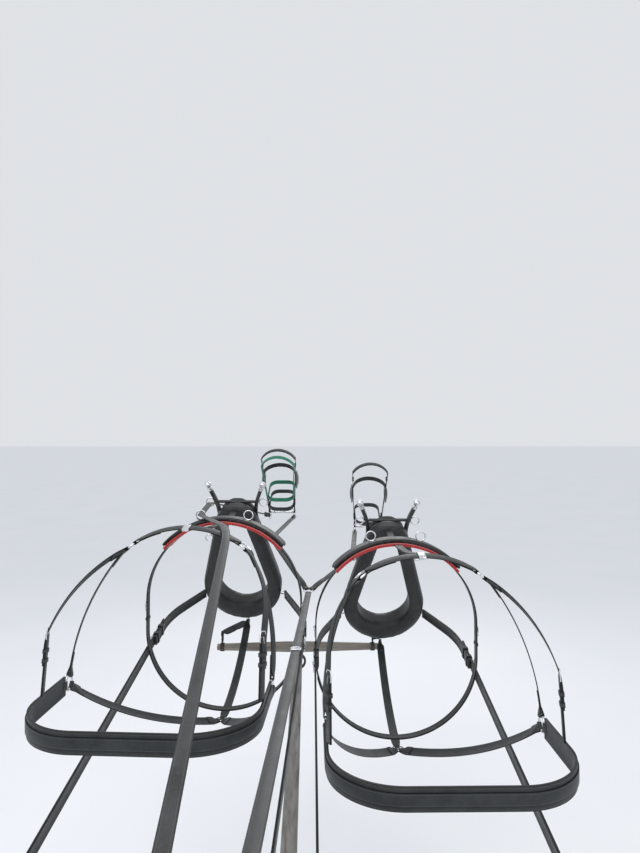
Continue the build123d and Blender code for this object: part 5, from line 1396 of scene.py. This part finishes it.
for name, places in PLACES.items():
    pivot = places["pivot"]
    slope = atan2((draft.z + places["lift"] - hook_height) / (draft.y + places["ahead"]), 1)
    along = Vector((0, cos(slope), sin(slope)))
    square = Vector((0, -sin(slope), cos(slope)))
    buckle_run = (GIRTH_Y + places["ahead"] + BUCKLE_AHEAD) / cos(slope)
    draft_run = (draft.y + places["ahead"]) / cos(slope)

    def on_pull(x, run, lift=0.0):
        return Vector((x, 0, hook_height)) + along * run + square * lift

    tugs = []
    for side, side_name in zip(BOTH, ("left", "right")):
        body = f"{name}_{side_name}_trace"
        square_on = [pivot.inverted() @ Vector(p) for p in points_of(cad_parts[body])]
        ends = [p.dot(along) - hook_height * along.z for p in square_on]
        begin, tip = min(ends), max(ends)
        out = to_side(side, 1)
        count = int((tip - begin) / TRACE_STEP)
        line = [on_pull(side * HOOK_HALF, begin + (tip - begin) * k / count) for k in range(count + 1)]
        settle(plied(line, [out] * len(line), TRACE_PLIES), f"{body}_sewn", [body], body=body, place=pivot)
        clip = []
        for face in BOTH:
            plate = [on_pull(side * HOOK_HALF + face * CLIP_OUT, begin + run) for run in CLIP_RUNS]
            clip.append(laid(plate, [to_side(face, 1)] * len(plate), CLIP_WIDTH, CLIP_LEAF, crease=False))
            for run, lift in RIVETS:
                at = on_pull(side * HOOK_HALF + face * RIVET_OUT, begin + run, lift)
                clip.append(rod(at, at + to_side(face, RIVET_HIGH), RIVET_RADIUS, RIVET_TIP, sides=12))
        settle(clip, f"{body}_clip", [], CHAIN, body, pivot)
        links = []
        for index in range(LINKS):
            centre = on_pull(side * HOOK_HALF, FIRST_LINK + index * LINK_PITCH)
            inside = LINK_INSIDE if index else END_LINK_INSIDE
            links.append(chain_link(centre, along, out if index % 2 else square, inside))
        heel = f"{name}_{side_name}_heel"
        settle(links, f"{heel}_links", [f"{heel}_chain"], CHAIN, body, pivot)

        lap_end = on_pull(side * TUG_X, buckle_run + TUG_LAP)
        eye_at = on_pull(side * draft_u, draft_run)
        tug_end = eye_at + (lap_end - eye_at).normalized() * draft_reach
        tug_line = rounded_run([on_pull(side * TUG_X, buckle_run + SEAT), lap_end, tug_end], [TUG_BEND])
        faces = []
        for before, after in zip([tug_line[0], *tug_line], [*tug_line[1:], tug_line[-1]]):
            faces.append(((after - before).normalized().cross(square) * side).normalized())
        if faces[3].x * side < 0:
            faces = [-f for f in faces]
        tugs += plied(tug_line, faces, TUG_PLIES)
        for run in TUG_KEEPERS:
            at = on_pull(side * (keeper_inside + keeper_outside) / 2, buckle_run + run)
            halves = (TRACE_WIDTH / 2 + RUNNING, (keeper_outside - keeper_inside) / 2)
            halves = [half + KEEPER_WALL / 2 for half in halves]
            tugs.append(keeper_loop(at, along, out, *halves, TUG_KEEPER_LENGTH, TUG_KEEPER_LEAF))
        buckle_x = keeper_outside + KEEPER_WALL / 2 + TUG_BUCKLE_OUT
        buckle_back = buckle_run + TUG_KEEPERS[0] - TUG_KEEPER_LENGTH / 2 - SEAT
        buckle_back -= TRACE_WIDTH * BUCKLE_SHARE
        at, turned = pivot @ on_pull(side * buckle_x, buckle_back), pivot.to_3x3()
        buckles.append(roller_buckle(at, turned @ along, turned @ out, TRACE_WIDTH))
    settle(tugs, f"{name}_hame_tugs_sewn", [f"{name}_hame_tugs"], place=pivot)

# Driving lines

LINE_WIDTH, LINE_THICK = 0.028, 0.004
LINE_RING, LINE_WIRE, LINE_REST, LINE_BEND = 0.024, 0.006, 0.0025, 0.022
# Rear ends of the two lines, and the fork of the inner one
NEAR_END, OFF_END = Vector((-0.117, 0.030, 0.947)), Vector((-0.025, 0.030, 1.010))
FORK = Vector((0.064, 2.480, 0.885))
CROUP_X, CROUP_LIFT, CROUP_BEND = 0.146, 0.033, 0.900
LINE_BUCKLE_Y = 1.480
fork_eye = (FORK, Vector((0, -0.25, 1)).normalized(), LINE_RING, LINE_WIRE)
line_reach = hypot(LINE_RING, LINE_WIRE / 2) + SEAT


def hame_u(v, clear):
    """How far out the hame's outer face, or a line clear of it, stands at a height."""
    half = HAME / 2 + clear
    if v < BEND_V:
        return foot.x - (v - foot.y) / cos(LEAN) * sin(LEAN) + half / cos(LEAN)
    return bend_centre.x - sqrt((BEND_RADIUS - half) ** 2 - (v - bend_centre.y) ** 2)


REIN_V, TOP_RING_V = 0.150, 0.375
rein_u = hame_u(REIN_V, HAME_INSET - HAME + SEAT + line_reach)
top_u = hame_u(TOP_RING_V, line_reach)


def line_ring(name, side, v, u, before):
    """The hame ring that a line runs through, as in the frame."""
    worn, head = PLACES[name]["worn"], PLACES[name]["head"]
    outward = (worn.to_3x3() @ to_side(side, 1)).normalized()
    nominal = worn @ on_collar(side * u, v)
    bit = placed(bit_eye(side), head)[0]
    facing = ((nominal - before).normalized() + (bit - nominal).normalized()).normalized()
    turned = abs(facing.dot(outward))
    staple = worn @ on_collar(side * (u - line_reach), v)
    held = (staple + outward * (SEAT + LINE_WIRE / 2 * turned), facing, LINE_RING, LINE_WIRE)
    return (held[0] + in_plane_of(held, outward) * LINE_RING, facing, LINE_RING, LINE_WIRE)


def to_bit(name, side, eye):
    """The last stretch of a line: low through its hame ring and on to the bit ring."""
    bit = placed(bit_eye(side), PLACES[name]["head"])
    through = eye[0] + in_plane_of(eye, -UP) * LINE_REST
    return [through, rim_point(bit, through - bit[0])]


LINE_SPACING = {"spacing": 0.014, "gap": 0.03, "least": 3}
OFF_STEPS = 80


def line_along(run):
    """A driving line laid along its run, face up."""
    faces = []
    for before, after in zip([run[0], *run], [*run[1:], run[-1]]):
        heading = after - before
        faces.append(heading.cross(UP).normalized().cross(heading).normalized())
    return laid(run, faces, LINE_WIDTH, LINE_THICK)


END_RUN, END_LAP, END_WIDTH, END_THICK = 0.09, 0.06, LINE_WIDTH * 0.98, LINE_THICK * 1.3


def line_end(eye, toward):
    """The end of a line, folded round its ring and sewn back under itself."""
    pull = toward.normalized()
    face = pull.cross(UP).normalized().cross(pull)
    face = face if face.z > 0 else -face
    start = rim_point(eye, toward) + pull * END_RUN
    return belt(start, eye[0], face, END_WIDTH, END_THICK, eyes=(None, eye), lap=END_LAP)


worn = PLACES["near"]["worn"]
terret_reach = TERRET_FOOT + SEAT + LINE_RING
near_terret = worn @ Vector(
    (-terret_reach * sin(TERRET_LEAN), GIRTH_Y, BARREL_TOP + terret_reach * cos(TERRET_LEAN))
)
croup_z = HIP_Z + HIP_RISE * (1 - (CROUP_X / HIP_HALF) ** 2) + CROUP_LIFT
top_ring = line_ring("near", -1, TOP_RING_V, top_u, near_terret)
near_route = [NEAR_END, worn @ Vector((CROUP_X, HIP_Y, croup_z)), near_terret, *to_bit("near", -1, top_ring)]
near_bit = placed(bit_eye(-1), PLACES["near"]["head"])
near_line = [
    line_along(rounded_run(near_route, (CROUP_BEND, LINE_BEND, LINE_BEND), **LINE_SPACING)),
    line_end(near_bit, near_route[-2] - near_bit[0]),
]
settle(near_line, "near_line_worn", ["near_line"], LINE)

inner_end = rim_point(fork_eye, OFF_END - FORK)
off_run = [OFF_END.lerp(inner_end, k / OFF_STEPS) for k in range(OFF_STEPS + 1)]
off_line = [line_along(off_run), line_end(fork_eye, OFF_END - FORK)]
settle(off_line, "off_line_worn", ["off_line"], LINE)

checks = []
for name, side in (("near", 1), ("off", -1)):
    eye = line_ring(name, side, REIN_V, rein_u, FORK)
    bit = placed(bit_eye(side), PLACES[name]["head"])
    route = [rim_point(fork_eye, eye[0] - FORK), *to_bit(name, side, eye)]
    checks += [
        line_along(rounded_run(route, (LINE_BEND,), **LINE_SPACING)),
        line_end(fork_eye, route[1] - FORK),
        line_end(bit, route[1] - bit[0]),
    ]
settle(checks, "cross_checks_worn", ["cross_checks"], LINE)

inner_run = (inner_end - OFF_END).normalized()
inner_face = inner_run.cross(UP).normalized().cross(inner_run)
buckle_at = OFF_END + inner_run * ((LINE_BUCKLE_Y - OFF_END.y) / inner_run.y)
buckle_at += inner_face * (LINE_THICK / 2 + SEAT + BUCKLE_LIFT)
buckles.append(roller_buckle(buckle_at, inner_run, inner_face, LINE_WIDTH))
settle(buckles, "strap_buckles_bright", ["strap_buckles"], CHROME)

# Bits

KNOB_OUT, KNOB_IN, KNOB_RADIUS, KNOB_TIP = 0.008, 0.010, 0.0088, 0.0080
MOUTH_RADIUS, MOUTH_END = 0.0064, 0.0086
bits = rings_of("bits")
for places in PLACES.values():
    head = places["head"]
    front = BIT_W + BIT_RING - WIRE / 2
    for side in BOTH:
        eye = placed(bit_eye(side), head)
        inside, outside = (
            head @ on_face(side * (BIT_SIDE + reach), BIT_V, front) for reach in (-KNOB_IN, KNOB_OUT)
        )
        bits += [
            wire_ring(eye[0], eye[1], BIT_RING, WIRE, weld=1.0),
            rod(inside, outside, KNOB_RADIUS, KNOB_TIP, sides=20),
            rod(head @ on_face(0, BIT_V, front), inside, MOUTH_RADIUS, MOUTH_END, sides=20),
        ]
settle(bits, "bits_bright", ["bits"], CHROME)

# Breast straps, neck yoke, pole and evener

YOKE_END_HALF, YOKE_Y = 0.425, 3.090
_, ring_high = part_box("yoke_irons")
breast_straps = []
for name, side in zip(PLACES, BOTH):
    chest = placed(breast_eye, PLACES[name]["worn"])
    yoke_end = (to_side(side, YOKE_END_HALF, YOKE_Y, ring_high.z - RING), ACROSS, RING, WIRE)
    breast_straps.append(belt(chest[0], yoke_end[0], (0, 1, 0), BREADTH, eyes=(chest, yoke_end)))
settle(breast_straps, "breast_straps_sewn", ["breast_straps"])


WEAR_NOISE, WEAR_LEVEL, WOOD_SMOOTH = 0.11, 0.62, 34


def worn_uneven(obj, name, axis, cut_step, depth):
    """Cut a wooden part across at intervals and wear its faces uneven."""
    points = points_of(obj)
    low, high = points[:, axis].min(), points[:, axis].max()
    normal = [float(k == axis) for k in range(3)]
    with editing(obj):
        at = low + cut_step
        while at < high - cut_step * 0.5:
            bpy.ops.mesh.select_all(action="SELECT")
            bpy.ops.mesh.bisect(plane_co=[at * n for n in normal], plane_no=normal)
            at += cut_step
    rough = bpy.data.textures.new(name + "_wear", "CLOUDS")
    rough.noise_scale = WEAR_NOISE
    add_modifier(obj, "DISPLACE", texture=rough, strength=depth, mid_level=WEAR_LEVEL, texture_coords="LOCAL")
    apply_all(obj)
    smooth(obj, WOOD_SMOOTH)


# Each wooden part's node, name, ease, finish, axis of its cuts, their step, and depth of wear
for node, name, ease, finish, axis, cut_step, depth in (
    ("pole", "pole_weathered", 0.004, GREY_ALONG_Y, 1, 0.06, 0.0022),
    ("evener", "evener_weathered", 0.004, GREY_ALONG_X, 0, 0.05, 0.0018),
    ("neck_yoke", "neck_yoke_turned", 0.003, GREY_ALONG_X, 0, 0.04, 0.0012),
):
    bar = eased(node, ease, 3)
    worn_uneven(bar, name, axis, cut_step, depth)
    settle([bar], name, [node], finish)
TREE_EASE, HOOK_EASE, IRON_EASE, YOKE_IRON_EASE = 0.0022, 0.0014, 0.0015, 0.0012
for name in PLACES:
    body = f"{name}_singletree"
    tree = eased(body, TREE_EASE, 3)
    smooth(tree, WOOD_SMOOTH)
    settle([tree], f"{body}_turned", [body], GREY_ALONG_X, body)
    irons = eased(f"{body}_irons", HOOK_EASE)
    settle([irons], f"{body}_hooks", [f"{body}_irons"], IRON, body)
for node in ("pole_irons", "evener_irons", "evener_saddle", "yoke_irons"):
    irons = eased(node, YOKE_IRON_EASE if node == "yoke_irons" else IRON_EASE)
    settle([irons], f"{node}_forged", [node], IRON)
